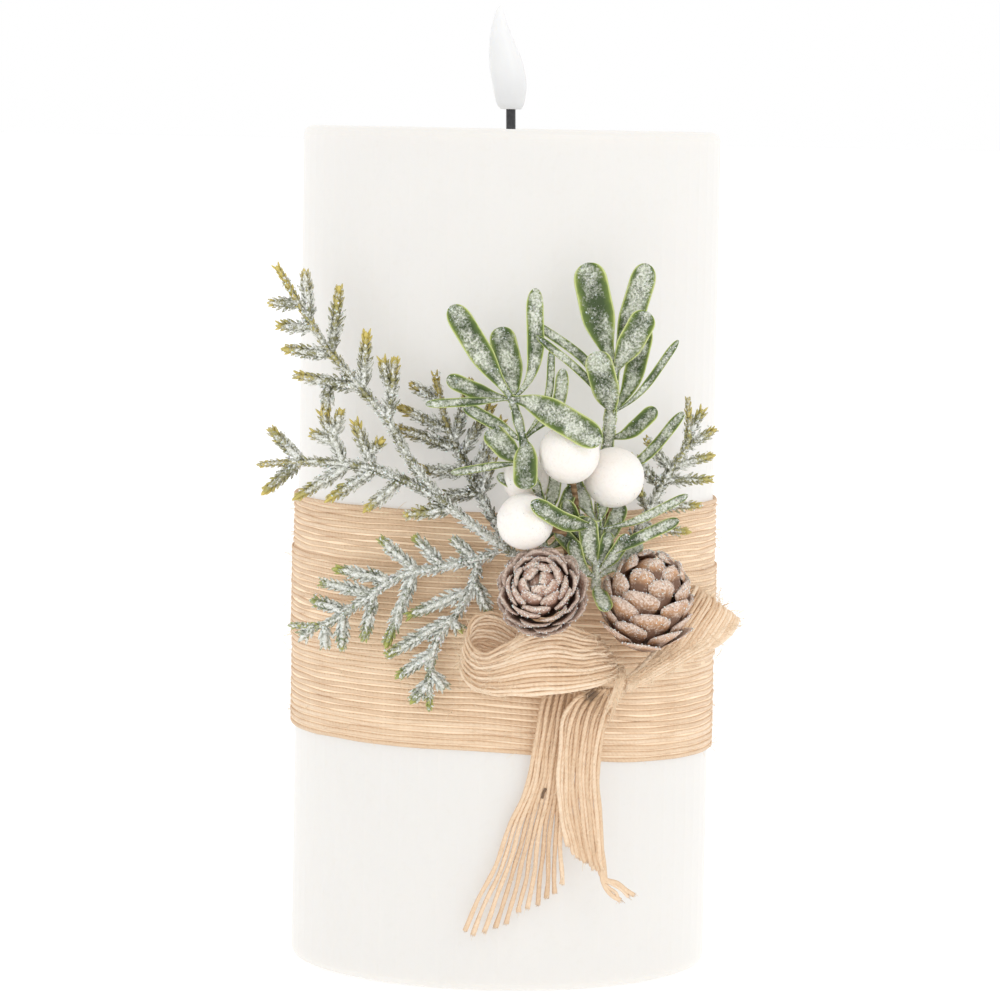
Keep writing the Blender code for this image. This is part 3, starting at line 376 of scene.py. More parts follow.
def jute_look():
    """Twisted fibre strands, with painted shade on the sides where they meet: the map runs along a
    strand and round it.
    """
    # painted light: the strands glow faintly (emission), which lifts their shade
    look = Look("jute", Specular_IOR_Level=0.2, Sheen_Weight=0.25, Sheen_Roughness=0.5,
                Emission_Color=(0.80, 0.57, 0.37, 1.0), Emission_Strength=0.06)
    place, along, around = look.uv()
    ply = look.math("SINE",
                    look.math("MULTIPLY", look.weigh((along, 0.55), (around, 1.0)), math.tau * 2))
    fibres = look.noise(1.0, 4, 0.65, look.stretch((0.9, 9.0, 1.0), place, (0, 0, 0.5)))
    slubs = look.noise(0.22, 3, 0.5, place)
    tone = look.weigh((look.tone(), 0.42), (fibres, 0.34), (slubs, 0.16), (look.noise(90), 0.18))
    base = look.ramp(tone, (0.02, (0.16, 0.10, 0.06)), (0.26, (0.52, 0.35, 0.21)),
                     (0.42, (0.70, 0.50, 0.33)), (0.60, (0.82, 0.625, 0.44)),
                     (0.82, (0.94, 0.79, 0.62)))
    # painted shade: each strand is darker on the two sides that face its neighbours, where shade
    # falls between strands
    groove_shaded = look.shade(1.0, base, look.side(around), (0.6, 1.0), (0.99, (0.90, 0.82, 0.72)))
    return look.done(groove_shaded, look.span(fibres, 0.72, 0.95), (ply, 0.00007, 0.6),
                     (fibres, 0.00012, 0.8))


def leaf_look():
    """Fleshy leaves with pale rims and a crust of frost; the map runs along and round."""
    look = Look("leaf", Specular_IOR_Level=0.5, Subsurface_Weight=0.12, Subsurface_Scale=0.001,
                Subsurface_Radius=(0.6, 1.0, 0.3))
    rim = look.side(look.uv()[2])
    cloud, grain = look.noise(260, 3, 0.6), look.noise(2600, 3, 0.7)
    green = look.ramp(look.weigh((cloud, 0.6), (look.math("POWER", rim, 3.0), 0.32)),
                      (0.24, (0.032, 0.062, 0.008)), (0.42, (0.095, 0.15, 0.018)),
                      (0.66, (0.34, 0.39, 0.075)))
    edge = look.weigh((rim, 1.0), (look.noise(500), 0.06), (cloud, 0.10), shift=-0.05)
    rimmed = look.mix(look.ramp(edge, (0.91, 0.0), (1.0, 0.9)), green, (0.64, 0.70, 0.30, 1.0))
    cover = look.ramp(look.weigh((cloud, 0.66), (grain, 0.36),
                                 (look.math("POWER", rim, 2.0), -0.24), (look.tone(), 0.13)),
                      (0.42, 0.0), (0.58, 0.86))
    crust = look.ramp(grain, (0.36, (0.33, 0.36, 0.25)), (0.62, (0.85, 0.86, 0.78)))
    return look.done(look.mix(cover, rimmed, crust), look.span(cover, 0.34, 0.75),
                     (cover, 0.00022, 0.8), (grain, 0.00012, 0.6))


def juniper_look(name, tip, middle, root, snow):
    """Scale leaves, from an old root colour to young tips, under patches of frost."""
    look = Look(name, Specular_IOR_Level=0.4)
    tone, cloud, grain = look.tone(), look.noise(330, 3, 0.6), look.noise(2400, 2, 0.7)
    age = look.weigh((tone, 1.0), (cloud, 0.5), shift=-0.25)
    green = look.ramp(age, (0.1, root), (0.55, middle), (0.95, tip))
    frost = look.weigh((cloud, 0.62), (grain, 0.55), (look.math("POWER", tone, 3.0), -0.20))
    cover = look.ramp(frost, (0.57 - 0.08 * snow, 0.0), (0.69 - 0.08 * snow, 0.9))
    crust = look.ramp(grain, (0.35, (0.50, 0.51, 0.43)), (0.58, (0.93, 0.94, 0.91)))
    return look.done(look.mix(cover, green, crust), look.span(cover, 0.45, 0.8),
                     (cover, 0.0002, 0.8), (grain, 0.0001, 0.5))


def cone_look(name, face, root_colour_and_shade, rim, bare):
    """Woody scales, less frosted as bare rises: the map's first number runs from root to rim."""
    look = Look(name, Specular_IOR_Level=0.35)
    along = look.uv()[1]
    fibres = look.noise((900, 900, 350), 3, 0.6)
    cloud, grain = look.noise(420, 3, 0.6), look.noise(2400, 2, 0.7)
    grown = look.weigh((along, 1.0), (cloud, 0.25), shift=-0.125)
    # darker towards each scale's root: partly the wood's own colour, partly painted shade down
    # between the scales
    wood = look.ramp(grown, (0.42, root_colour_and_shade), (0.70, face), (0.88, face), (0.98, rim))
    wood = look.shade(0.55, wood, fibres, (0.3, (0.55, 0.5, 0.48)), (0.6, 1.0))
    frost = look.weigh((cloud, 0.5), (grain, 0.42), (look.math("POWER", along, 3.0), 0.34))
    cover = look.ramp(frost, (bare, 0.0), (bare + 0.16, 0.86))
    crust = look.ramp(grain, (0.35, (0.45, 0.30, 0.225)), (0.62, (0.85, 0.72, 0.62)))
    return look.done(look.mix(cover, wood, crust), look.span(cover, 0.6, 0.85),
                     (fibres, 0.00018, 0.7), (cover, 0.00018, 0.7))


def berry_look():
    look = Look("foam_berry", Specular_IOR_Level=0.45, Subsurface_Weight=0.3,
                Subsurface_Scale=0.002, Subsurface_Radius=(1.0, 0.8, 0.6))
    broad, grain = look.noise(160), look.noise(2300, 3, 0.65)
    base = look.ramp(broad, (0.3, (0.92, 0.865, 0.81)), (0.7, (0.96, 0.915, 0.875)))
    pitted = look.shade(0.7, base, grain, (0.32, (0.93, 0.92, 0.90)), (0.48, 1.0))
    return look.done(pitted, look.span(grain, 0.35, 0.75), (grain, 0.00018, 0.8))


def stem_look():
    look = Look("stem_paper", Specular_IOR_Level=0.25)
    wrap = look.node("ShaderNodeTexWave", {"bands_direction": "Z"}, Vector=look.object, Scale=260.0,
                     Distortion=3.0, Detail=3.0).outputs["Fac"]
    fine = look.noise(1500, 3)
    base = look.ramp(wrap, (0.2, (0.22, 0.13, 0.07)), (0.8, (0.42, 0.27, 0.15)))
    papery = look.shade(0.5, base, fine, (0.35, 0.5), (0.65, 1.0))
    return look.done(papery, look.span(fine, 0.65, 0.95), (wrap, 0.0001, 0.6))


def flame_look():
    look = Look("flame_plastic", Subsurface_Weight=0.5, Subsurface_Scale=0.0025,
                Subsurface_Radius=(1.0, 0.95, 0.85), Coat_Weight=0.25, Coat_Roughness=0.25,
                Specular_IOR_Level=0.5)
    fine = look.noise(1800)
    milky = look.ramp(look.noise(120), (0.3, (0.80, 0.805, 0.81)), (0.7, (0.83, 0.835, 0.84)))
    return look.done(milky, look.span(fine, 0.28, 0.42), (fine, 0.00003, 0.5))


def cell_look():
    """A plain battery jacket: dark, with a copper band at one end and printed rings."""
    look = Look("cell_jacket", Metallic=0.35, Coat_Weight=0.4, Coat_Roughness=0.15)
    across = look.node("ShaderNodeSeparateXYZ", Vector=look.object).outputs["X"]
    reach = look.math("MULTIPLY", look.math("ABSOLUTE", across), 40.0)
    dark, copper = (0.03, 0.07, 0.11), (0.62, 0.33, 0.14)
    bands = look.ramp(reach, (0.0, dark), (0.70, dark), (0.71, (0.70, 0.70, 0.68)), (0.73, copper),
                      (0.97, copper), (0.98, (0.72, 0.72, 0.70)))
    fine = look.noise(1500)
    return look.done(look.shade(0.2, bands, fine, (0.3, 0.6), (0.7, 1.0)),
                     look.span(fine, 0.25, 0.4))


def board_look():
    look = Look("board_green", Coat_Weight=0.3, Coat_Roughness=0.2)
    tracks = look.node("ShaderNodeTexVoronoi", {"feature": "DISTANCE_TO_EDGE"}, Vector=look.object,
                       Scale=330.0, Randomness=0.35).outputs["Distance"]
    fine = look.noise(1800)
    base = look.ramp(tracks, (0.03, (0.06, 0.30, 0.13)), (0.08, (0.015, 0.13, 0.05)))
    return look.done(look.shade(0.3, base, fine, (0.3, 0.6), (0.7, 1.0)),
                     look.span(fine, 0.35, 0.5), (tracks, 0.00005, 0.5))


def grained_look(name, grain, low, high, rough=None, bump=None, **values):
    """One grain, given as noise settings, drives colour, gloss and bump."""
    look = Look(name, **values)
    fine = look.noise(*grain)
    return look.done(look.ramp(fine, (0.3, low), (0.7, high)), rough and look.span(fine, *rough),
                     *([(fine, *bump)] if bump else []))


def moulded_look(name, low, high, rough=(0.38, 0.55), scale=900.0, bump=0.00004, **values):
    """Moulded plastic and the like: a mottled colour with a fine grain."""
    look = Look(name, **values)
    broad, fine = look.noise(80, 3), look.noise(scale, 3, 0.6)
    mottled = look.ramp(look.weigh((broad, 0.5), (fine, 0.5)), (0.35, low), (0.65, high))
    return look.done(mottled, look.span(fine, *rough), (fine, bump, 0.7))


def make_looks():
    """The finishes by name; those that CAD nodes wear have the names of their slots."""
    green = leaf_look()
    return {
        "wax": wax_look(), "jute": jute_look(), "foam_berry": berry_look(),
        "flame_plastic": flame_look(),
        "leaf_green": green, "juniper_green": green, "stem_brown": stem_look(),
        "cell_jacket": cell_look(), "board_green": board_look(),
        "jute_fuzz": grained_look("jute_fuzz", (400,), (0.74, 0.56, 0.37), (0.95, 0.82, 0.63),
                                  Specular_IOR_Level=0.3, Roughness=0.7, Sheen_Weight=0.2),
        # painted light: the backing glows (emission), which makes the gaps between strands lighter
        "jute_backing": grained_look("jute_backing", ((160, 160, 900), 3, 0.6), (0.80, 0.63, 0.45),
                                     (0.92, 0.79, 0.62), (0.8, 1.0), (0.0002, 0.8),
                                     Specular_IOR_Level=0.15, Emission_Color=(0.9, 0.72, 0.52, 1.0),
                                     Emission_Strength=0.22),
        "frost": grained_look("frost_grains", (3000,), (0.78, 0.80, 0.78), (0.96, 0.97, 0.96),
                              (0.25, 0.6), Specular_IOR_Level=0.6, Subsurface_Weight=0.2,
                              Subsurface_Scale=0.0006),
        "glitter": grained_look("glitter", (1500, 1), (0.72, 0.75, 0.76), (0.98, 0.98, 0.97),
                                (0.08, 0.3), Metallic=1.0),
        "steel": grained_look("steel", ((200, 2600, 200), 4, 0.7), (0.50, 0.50, 0.51),
                              (0.74, 0.74, 0.75), (0.22, 0.42), (0.00003, 0.5), Metallic=1.0),
        "cone_scale": cone_look("cone_wood", (0.43, 0.245, 0.175), (0.19, 0.105, 0.075),
                                (0.68, 0.52, 0.43), 0.56),
        "cone_tan": cone_look("cone_wood_tan", (0.62, 0.335, 0.165), (0.20, 0.11, 0.07),
                              (0.78, 0.65, 0.55), 0.50),
        "black_plastic": moulded_look("black_plastic", (0.018, 0.018, 0.02), (0.035, 0.035, 0.038)),
        "white_plastic": moulded_look("white_plastic", (0.80, 0.79, 0.76), (0.86, 0.855, 0.83)),
        "wick_black": moulded_look("wick_black", (0.012, 0.012, 0.014), (0.05, 0.05, 0.055),
                                   (0.3, 0.55), 1600.0, 0.00008),
        "led": moulded_look("led", (0.85, 0.72, 0.35), (0.93, 0.85, 0.55), (0.1, 0.2)),
        "wire_red": moulded_look("wire_red", (0.50, 0.02, 0.02), (0.62, 0.04, 0.035)),
        "wire_black": moulded_look("wire_black", (0.02, 0.02, 0.02), (0.045, 0.045, 0.045)),
        "copper_wire": moulded_look("copper_wire", (0.66, 0.36, 0.20), (0.80, 0.48, 0.30),
                                    (0.2, 0.35), Metallic=1.0),
        "resistor_tan": moulded_look("resistor_tan", (0.52, 0.41, 0.26), (0.70, 0.57, 0.38)),
        "hot_glue": moulded_look("hot_glue", (0.74, 0.71, 0.62), (0.88, 0.86, 0.78), (0.2, 0.4),
                                 300.0, 0.0002, Subsurface_Weight=0.4, Subsurface_Scale=0.002),
    }


# ---------------------------------------------------------------- jute ribbon

def jute_piece(name, fuzz_name, shell, anchors, node, fuzz, dice, looks):
    """A piece of strands, and stray fibres from some of its (point, outward, along) anchors."""
    piece = shell.settle(name, [looks["jute"]], "jute", node)
    stray, (count, reach) = Shell(), FUZZ[fuzz]
    for at, out, along in dice.sample(anchors, count):
        lean = along * dice.uniform(-1.2, 1.2) + out * dice.uniform(0.15, 1.0)
        hair(stray, at + out * STRAND_R * 0.6, lean, dice.uniform(*reach), dice,
             dice.uniform(0.035, 0.06))
    return piece, stray.settle(fuzz_name, [looks["jute_fuzz"]], "jute")


def waves(dice, rates, low, high):
    """Slow random waves round the candle: how many, how far and where each starts."""
    return [(rate, dice.uniform(low, high), dice.uniform(0, math.tau)) for rate in rates]


def wander(phases, turn):
    return sum(size * math.sin(rate * turn + phase) for rate, size, phase in phases)


def droop(number, turn):
    """How far each turn of the ribbon sags at an angle round the candle."""
    side = math.cos(turn)
    return (3.2 * ease((side + 0.15) / 1.1), 2.0 * ease((side + 0.2) / 1.2),
            -0.3 * ease(side))[number]


def make_wrap(looks):
    shell, dice, anchors = Shell(), random.Random("wrap"), []
    for number, (low, lanes, radius, tucked) in enumerate(WRAP_TURNS):
        sway = waves(dice, (2, 3, 5), 0.04, 0.14)
        for lane in range(lanes):
            own = waves(dice, (7, 11, 19), 0.02, 0.07)
            bulge = waves(dice, (4, 9, 23), 0.01, 0.05)
            inward = 0.2 if lane >= lanes - tucked else 0.1 if lane < -tucked else 0.0
            path, outs = [], []
            for i in range(WRAP_STEPS):
                turn = math.tau * i / WRAP_STEPS
                lift = wander(sway, turn) + wander(own, turn)
                z = low + (lane + 0.5) * WRAP_PITCH - droop(number, turn) + lift
                outs.append(spoke(turn))
                path.append(outs[-1] * (radius - inward + wander(bulge, turn) * 0.8) + UP * z)
            thick = STRAND_R * dice.uniform(0.92, 1.06)
            sweep(shell, path, (thick * 0.84, thick * 0.62), outs, 6, dice.uniform(0.25, 0.7), True)
            anchors += [(path[i], outs[i], (path[(i + 1) % WRAP_STEPS] - path[i]).normalized())
                        for i in range(WRAP_STEPS)]
    wrap, hairs = jute_piece("jute_ribbon_wrap", "jute_wrap_fuzz", shell, anchors, "jute_wrap",
                             "wrap", dice, looks)
    make_backing(looks)


def make_backing(looks):
    """The fibres behind the wrap's strands, one band to a turn; their finish glows with painted
    light that lightens the gaps.
    """
    film = Shell()
    for number, (start, lanes, radius, _) in enumerate(WRAP_TURNS):
        rows, inner, outer = [], BACKING_R + 0.02 * number, radius + 0.03
        for i in range(BACKING_STEPS):
            turn = math.tau * i / BACKING_STEPS
            out, low = spoke(turn), UP * (start + 0.7 - droop(number, turn))
            top = low + UP * (lanes * WRAP_PITCH - 1.4)
            rows.append([out * inner + low, out * outer + low, out * outer + top,
                         out * inner + top])
        film.grid(rows, closed=True)
    return film.settle("jute_wrap_backing", [looks["jute_backing"]], "jute")


def ribbon(shell, guides, count, dice, steps=7, thin=0.3):
    """Strands side by side across a ribbon; guides are its two edges and its middle."""
    low, middle, high = (smooth_path(guide, steps) for guide in guides)
    anchors, lanes = [], []
    for k in range(count):
        v = k / (count - 1)
        lanes.append([a * (2 * v * v - 3 * v + 1) + b * (4 * v - 4 * v * v) + c * (2 * v * v - v)
                      for a, b, c in zip(low, middle, high)])
    flip = None
    for k, lane in enumerate(lanes):
        near, far = lanes[max(k - 1, 0)], lanes[min(k + 1, count - 1)]
        own = [(dice.uniform(0.5, 0.9), dice.uniform(0, math.tau)) for _ in range(2)]
        path, outs, halves = [], [], []
        for i, point in enumerate(lane):
            gap = far[i] - near[i]
            out = heading(lane, i).cross(gap).normalized()
            flip = flip or (-1.0 if out.y > 0 else 1.0)
            out = out * flip
            room = gap.length / (1 if k in (0, count - 1) else 2)
            r = max(thin, min(STRAND_R, room * 0.52))
            crowd = (STRAND_R - r) * (1 if k % 2 else -1)
            waver = 0.06 * sum(math.sin(rate * i + phase) for rate, phase in own)
            path.append(point + out * (crowd + waver) + gap.normalized() * waver)
            outs.append(out)
            halves.append((r, r * 0.95))
        sweep(shell, path, halves, outs, 6, dice.uniform(0.25, 0.95))
        anchors += [(p, o, heading(path, i)) for i, (p, o) in enumerate(zip(path, outs))]
    return anchors


# the left loop's outer strand, middle and inner strand, out from the knot and back
LOOP_LEFT = (
    ((19.9, -41.8, 56.2), (17.0, -43.9, 54.9), (12.4, -45.1, 53.8), (6.4, -46.5, 53.1),
     (1.4, -46.9, 52.8), (-2.4, -46.7, 52.9), (-5.0, -46.1, 53.7), (-6.6, -45.2, 55.6),
     (-6.9, -44.4, 57.6), (-5.8, -43.8, 58.6), (-3.2, -43.4, 58.2), (1.4, -43.1, 57.0),
     (7.6, -42.7, 55.8), (14.0, -42.2, 55.2)),
    ((19.0, -41.6, 59.4), (17.6, -44.0, 59.4), (13.6, -46.0, 59.0), (7.8, -47.3, 59.3),
     (2.8, -47.7, 58.3), (-1.2, -47.5, 57.0), (-4.2, -46.8, 56.8), (-6.2, -45.7, 58.2),
     (-6.6, -44.7, 60.4), (-5.2, -43.8, 62.2), (-2.6, -43.2, 62.4), (2.0, -42.8, 60.8),
     (8.0, -42.4, 58.2), (14.0, -42.0, 56.6)),
    ((16.6, -41.2, 62.4), (16.0, -43.6, 63.0), (13.8, -45.2, 63.8), (9.8, -46.8, 65.0),
     (4.6, -47.3, 64.0), (0.2, -47.3, 61.2), (-3.2, -46.9, 59.8), (-5.3, -45.8, 61.2),
     (-5.9, -44.7, 63.6), (-4.4, -43.5, 66.3), (-2.0, -42.8, 66.9), (3.0, -42.4, 64.2),
     (8.5, -42.1, 60.8), (14.0, -41.8, 57.8)),
)
# the right loop: out along the lower layer, folded up to the top edge, and back behind
LOOP_RIGHT = (
    ((21.2, -41.6, 53.8), (27.5, -40.4, 56.6), (32.7, -37.6, 59.8), (37.6, -33.0, 62.6),
     (39.9, -29.4, 65.3), (40.2, -28.0, 66.6), (38.8, -28.2, 66.6), (33.0, -31.8, 62.0),
     (27.0, -35.6, 57.4), (22.4, -38.0, 54.6)),
    ((21.4, -42.0, 54.8), (25.4, -41.4, 57.0), (29.6, -39.6, 59.6), (32.6, -37.2, 61.8),
     (35.0, -35.0, 65.2), (36.8, -32.6, 69.2), (36.0, -31.6, 69.2), (32.0, -32.8, 64.0),
     (27.0, -35.6, 58.8), (22.6, -38.2, 55.6)),
    ((21.6, -41.8, 56.0), (22.8, -41.6, 57.0), (24.2, -41.2, 58.2), (26.6, -39.6, 61.2),
     (29.8, -36.6, 66.4), (33.0, -33.0, 72.0), (32.2, -31.8, 71.8), (29.6, -33.4, 65.6),
     (26.2, -36.2, 60.4), (22.8, -38.4, 56.8)),
)
# the tails seen from the front: rows of height, left edge and right edge, then the heights
# at which their strands end, from left to right
TAIL_LEFT_ROWS = ((53.8, 7.8, 12.8), (48.9, 6.6, 12.0), (44.0, 5.9, 11.5), (38.8, 5.2, 11.2),
                  (34.8, 3.9, 10.9), (30.3, 2.0, 10.7), (25.3, 0.3, 10.7), (21.1, -1.3, 11.0),
                  (16.2, -3.7, 11.4), (10.0, -6.3, 12.0))
TAIL_LEFT_ENDS = (11.4, 10.7, 11.2, 12.1, 12.8, 14.9, 15.5, 16.2, 17.4, 18.3, 19.9)
TAIL_RIGHT_ROWS = ((54.2, 15.4, 19.8), (51.6, 12.2, 19.0), (49.2, 10.9, 18.2), (44.3, 10.3, 17.1),
                   (40.1, 10.1, 16.9), (35.8, 10.2, 17.0), (31.6, 10.7, 17.4), (26.9, 12.0, 17.9),
                   (23.4, 13.4, 18.2), (20.9, 16.8, 18.5))
TAIL_RIGHT_ENDS = (26.6, 25.2, 24.6, 24.2, 23.8, 23.9, 23.2, 22.6, 22.4, 21.6, 21.4, 20.9)
# how far below a tail's top, in millimetres, the knot still shades it
KNOT_SHADE = 11.0
# each loop: its side, its guides and the length of its ribbon in metres
LOOPS = (("left", LOOP_LEFT, 0.058), ("right", LOOP_RIGHT, 0.052))
# each tail: outline, strand ends, depth half way down and how fast that changes with height, length
# in metres; a dark fleck as (x, z) points, or the centre of a hollow whose shadow is painted onto
# the strands
TAILS = {
    "left": {"rows": TAIL_LEFT_ROWS, "ends": TAIL_LEFT_ENDS, "depth": (-39.7, 0.012),
             "length": 0.042, "fleck": ((7.9, 36.6), (7.5, 35.7), (7.3, 34.8))},
    "right": {"rows": TAIL_RIGHT_ROWS, "ends": TAIL_RIGHT_ENDS, "depth": (-41.0, -0.016),
              "length": 0.032, "hollow_shade": (15.2, -41.4, 53.4)},
}
TAIL_MIDDLE = 30
KNOT_STRANDS = 5
# each frayed yarn: its path seen from the front, and its half width
FRAYED_DEPTH = -41.1
FRAYED = (
    (((17.9, 22.6), (18.0, 21.0), (19.0, 18.9), (20.2, 17.8), (21.3, 17.3)), 0.42),
    (((18.1, 22.6), (18.5, 21.0), (20.6, 20.3), (22.3, 19.0), (23.6, 18.2)), 0.42),
    (((18.1, 23.0), (18.3, 20.8), (19.9, 20.0), (21.3, 19.2), (22.6, 17.9)), 0.3),
    (((17.8, 22.8), (18.1, 20.6), (19.4, 19.3), (20.4, 18.6), (20.9, 17.4)), 0.3),
)


def tail_depth(depth, z):
    return depth[0] + depth[1] * (z - TAIL_MIDDLE)


def tail_points(rows, end, v, stagger, depth):
    """Where one strand of a tail runs: v is its place across, and end the height it stops at."""
    def spot(left, right, z, crowd):
        return seen(left + (right - left) * v, tail_depth(depth, z) + stagger * (0.4 + crowd), z)

    points = []
    for z, left, right in rows:
        if z < end + 1.0:
            break
        points.append(spot(left, right, z, 1.0 - ease((rows[0][0] - z) / 14)))
    z0, left0, right0 = rows[len(points) - 1]
    z1, left1, right1 = rows[min(len(points), len(rows) - 1)]
    part = (z0 - end) / max(z0 - z1, 1e-6)
    left, right = left0 + (left1 - left0) * part, right0 + (right1 - right0) * part
    return [*points, spot(left, right, end, 0.0)]


def make_tail(dice, looks, side, rows, ends, depth, length, fleck=(), hollow_shade=None):
    """A hanging end: strands that part from each other and stop at their own heights."""
    shell, anchors = Shell(), []
    if fleck:
        path = smooth_path([seen(x, tail_depth(depth, z) - STRAND_R, z) for x, z in fleck], 3)
        sweep(shell, path, (0.24, 0.12), FRONT, 6, -0.9)
    for k, end in enumerate(ends):
        stagger = 0.3 * (1 if k % 2 else -1)
        path = smooth_path(tail_points(rows, end, k / (len(ends) - 1), stagger, depth), 5)
        rate, phase = dice.uniform(0.3, 0.6), dice.uniform(0, math.tau)
        for i, point in enumerate(path):
            point.x += 0.10 * math.sin(rate * i + phase)
        last = len(path) - 1
        halves = [(STRAND_R * (0.80 + 0.16 * ease((i - last + 4) / 4)
                               + 0.06 * math.sin(i + phase)),) * 2
                  for i in range(last + 1)]
        own = dice.uniform(0.25, 0.85)
        # painted shade: each strand darkens towards the tail's top, where the knot shades it
        tones = [own - 0.35 * ease((point.z - path[0].z + KNOT_SHADE) / KNOT_SHADE)
                 - 0.12 * (i == last)
                 for i, point in enumerate(path)]
        # painted shadow: strands darken round the hollow at the right tail's top
        if hollow_shade:
            tones = [shade - 1.3 * math.exp(-((point - seen(*hollow_shade)) / 1.5).length_squared)
                     for shade, point in zip(tones, path)]
        sweep(shell, path, halves, FRONT, 7, tones)
        anchors += [(p, FRONT, heading(path, i)) for i, p in enumerate(path)]
        for _ in range(5):
            hair(shell, path[-1] + Vector((dice.uniform(-.3, .3), 0, 0.2)), path[-1] - path[-3],
                 dice.uniform(0.3, 0.7), dice, 0.09, own)
    name = f"bow_ribbon_tail_{side}"
    piece, hairs = jute_piece(name, name + "_fuzz", shell, anchors, f"bow_tail_{side}",
                              "tail", dice, looks)


def make_bow(looks):
    dice = random.Random("bow")
    for side, guides, length in LOOPS:
        shell, name = Shell(), f"bow_ribbon_{side}"
        anchors = ribbon(shell, [[seen(*point) for point in guide] for guide in guides],
                         LOOP_STRANDS, dice)
        piece, hairs = jute_piece(name, name + "_fuzz", shell, anchors, f"bow_loop_{side}",
                                  "loop", dice, looks)
    make_knot(dice, looks)
    for side, values in TAILS.items():
        make_tail(dice, looks, side, **values)
    frayed = Shell()
    for points, half in FRAYED:
        path = smooth_path([seen(x, FRAYED_DEPTH, z) for x, z in points], 5)
        sweep(frayed, path, (half, half), FRONT, 7, dice.uniform(0.5, 0.8))
        for _ in range(9):
            start = path[-1 - dice.randrange(6)] + jitter(dice, 0.25)
            hair(frayed, start, path[-1] - path[-4], dice.uniform(0.5, 1.1), dice, 0.07)
    frayed.settle("bow_tail_frayed_end", [looks["jute"]], "jute")


def make_knot(dice, looks):
    """A few strands pulled down over the middle of the bow."""
    knot, anchors = Shell(), []
    for k in range(KNOT_STRANDS):
        x = 19.2 + 0.26 * k
        lift = 0.2 * math.sin(math.pi * k / (KNOT_STRANDS - 1))
        points = [seen(x + 0.4, -39.2, 58.0), seen(x + 0.7, -41.4 - lift, 57.0),
                  seen(x + 0.6, -42.5 - lift, 55.6), seen(x + 0.2, -42.6 - lift, 53.8),
                  seen(x - 0.8 + 0.06 * k, -42.2 - lift, 51.2),
                  seen(x - 1.9 + 0.2 * k, -41.7, 48.4 + k % 3)]
        path = smooth_path(points, 5)
        halves = [(0.34 * (1 - 0.5 * (i / (len(path) - 1)) ** 3),) * 2 for i in range(len(path))]
        sweep(knot, path, halves, FRONT, 7, dice.uniform(0.5, 1.0))
        anchors += [(p, FRONT, UP) for p in path]
    jute_piece("bow_knot_wrap", "bow_knot_fuzz", knot, anchors, "bow_knot", "knot", dice, looks)


# ---------------------------------------------------------------- greenery

# a spray follows the round wax: it falls back by this much times x squared
SPRAY_BEND = 0.010
STEM_PLUMP = 1.1
TWIG_CORE = 0.6
TWIG_STEP = 0.62
LEAF_SIDES = 16
# how far a leaf's edges stand up, as a share of its half width
LEAF_CUP = 0.16
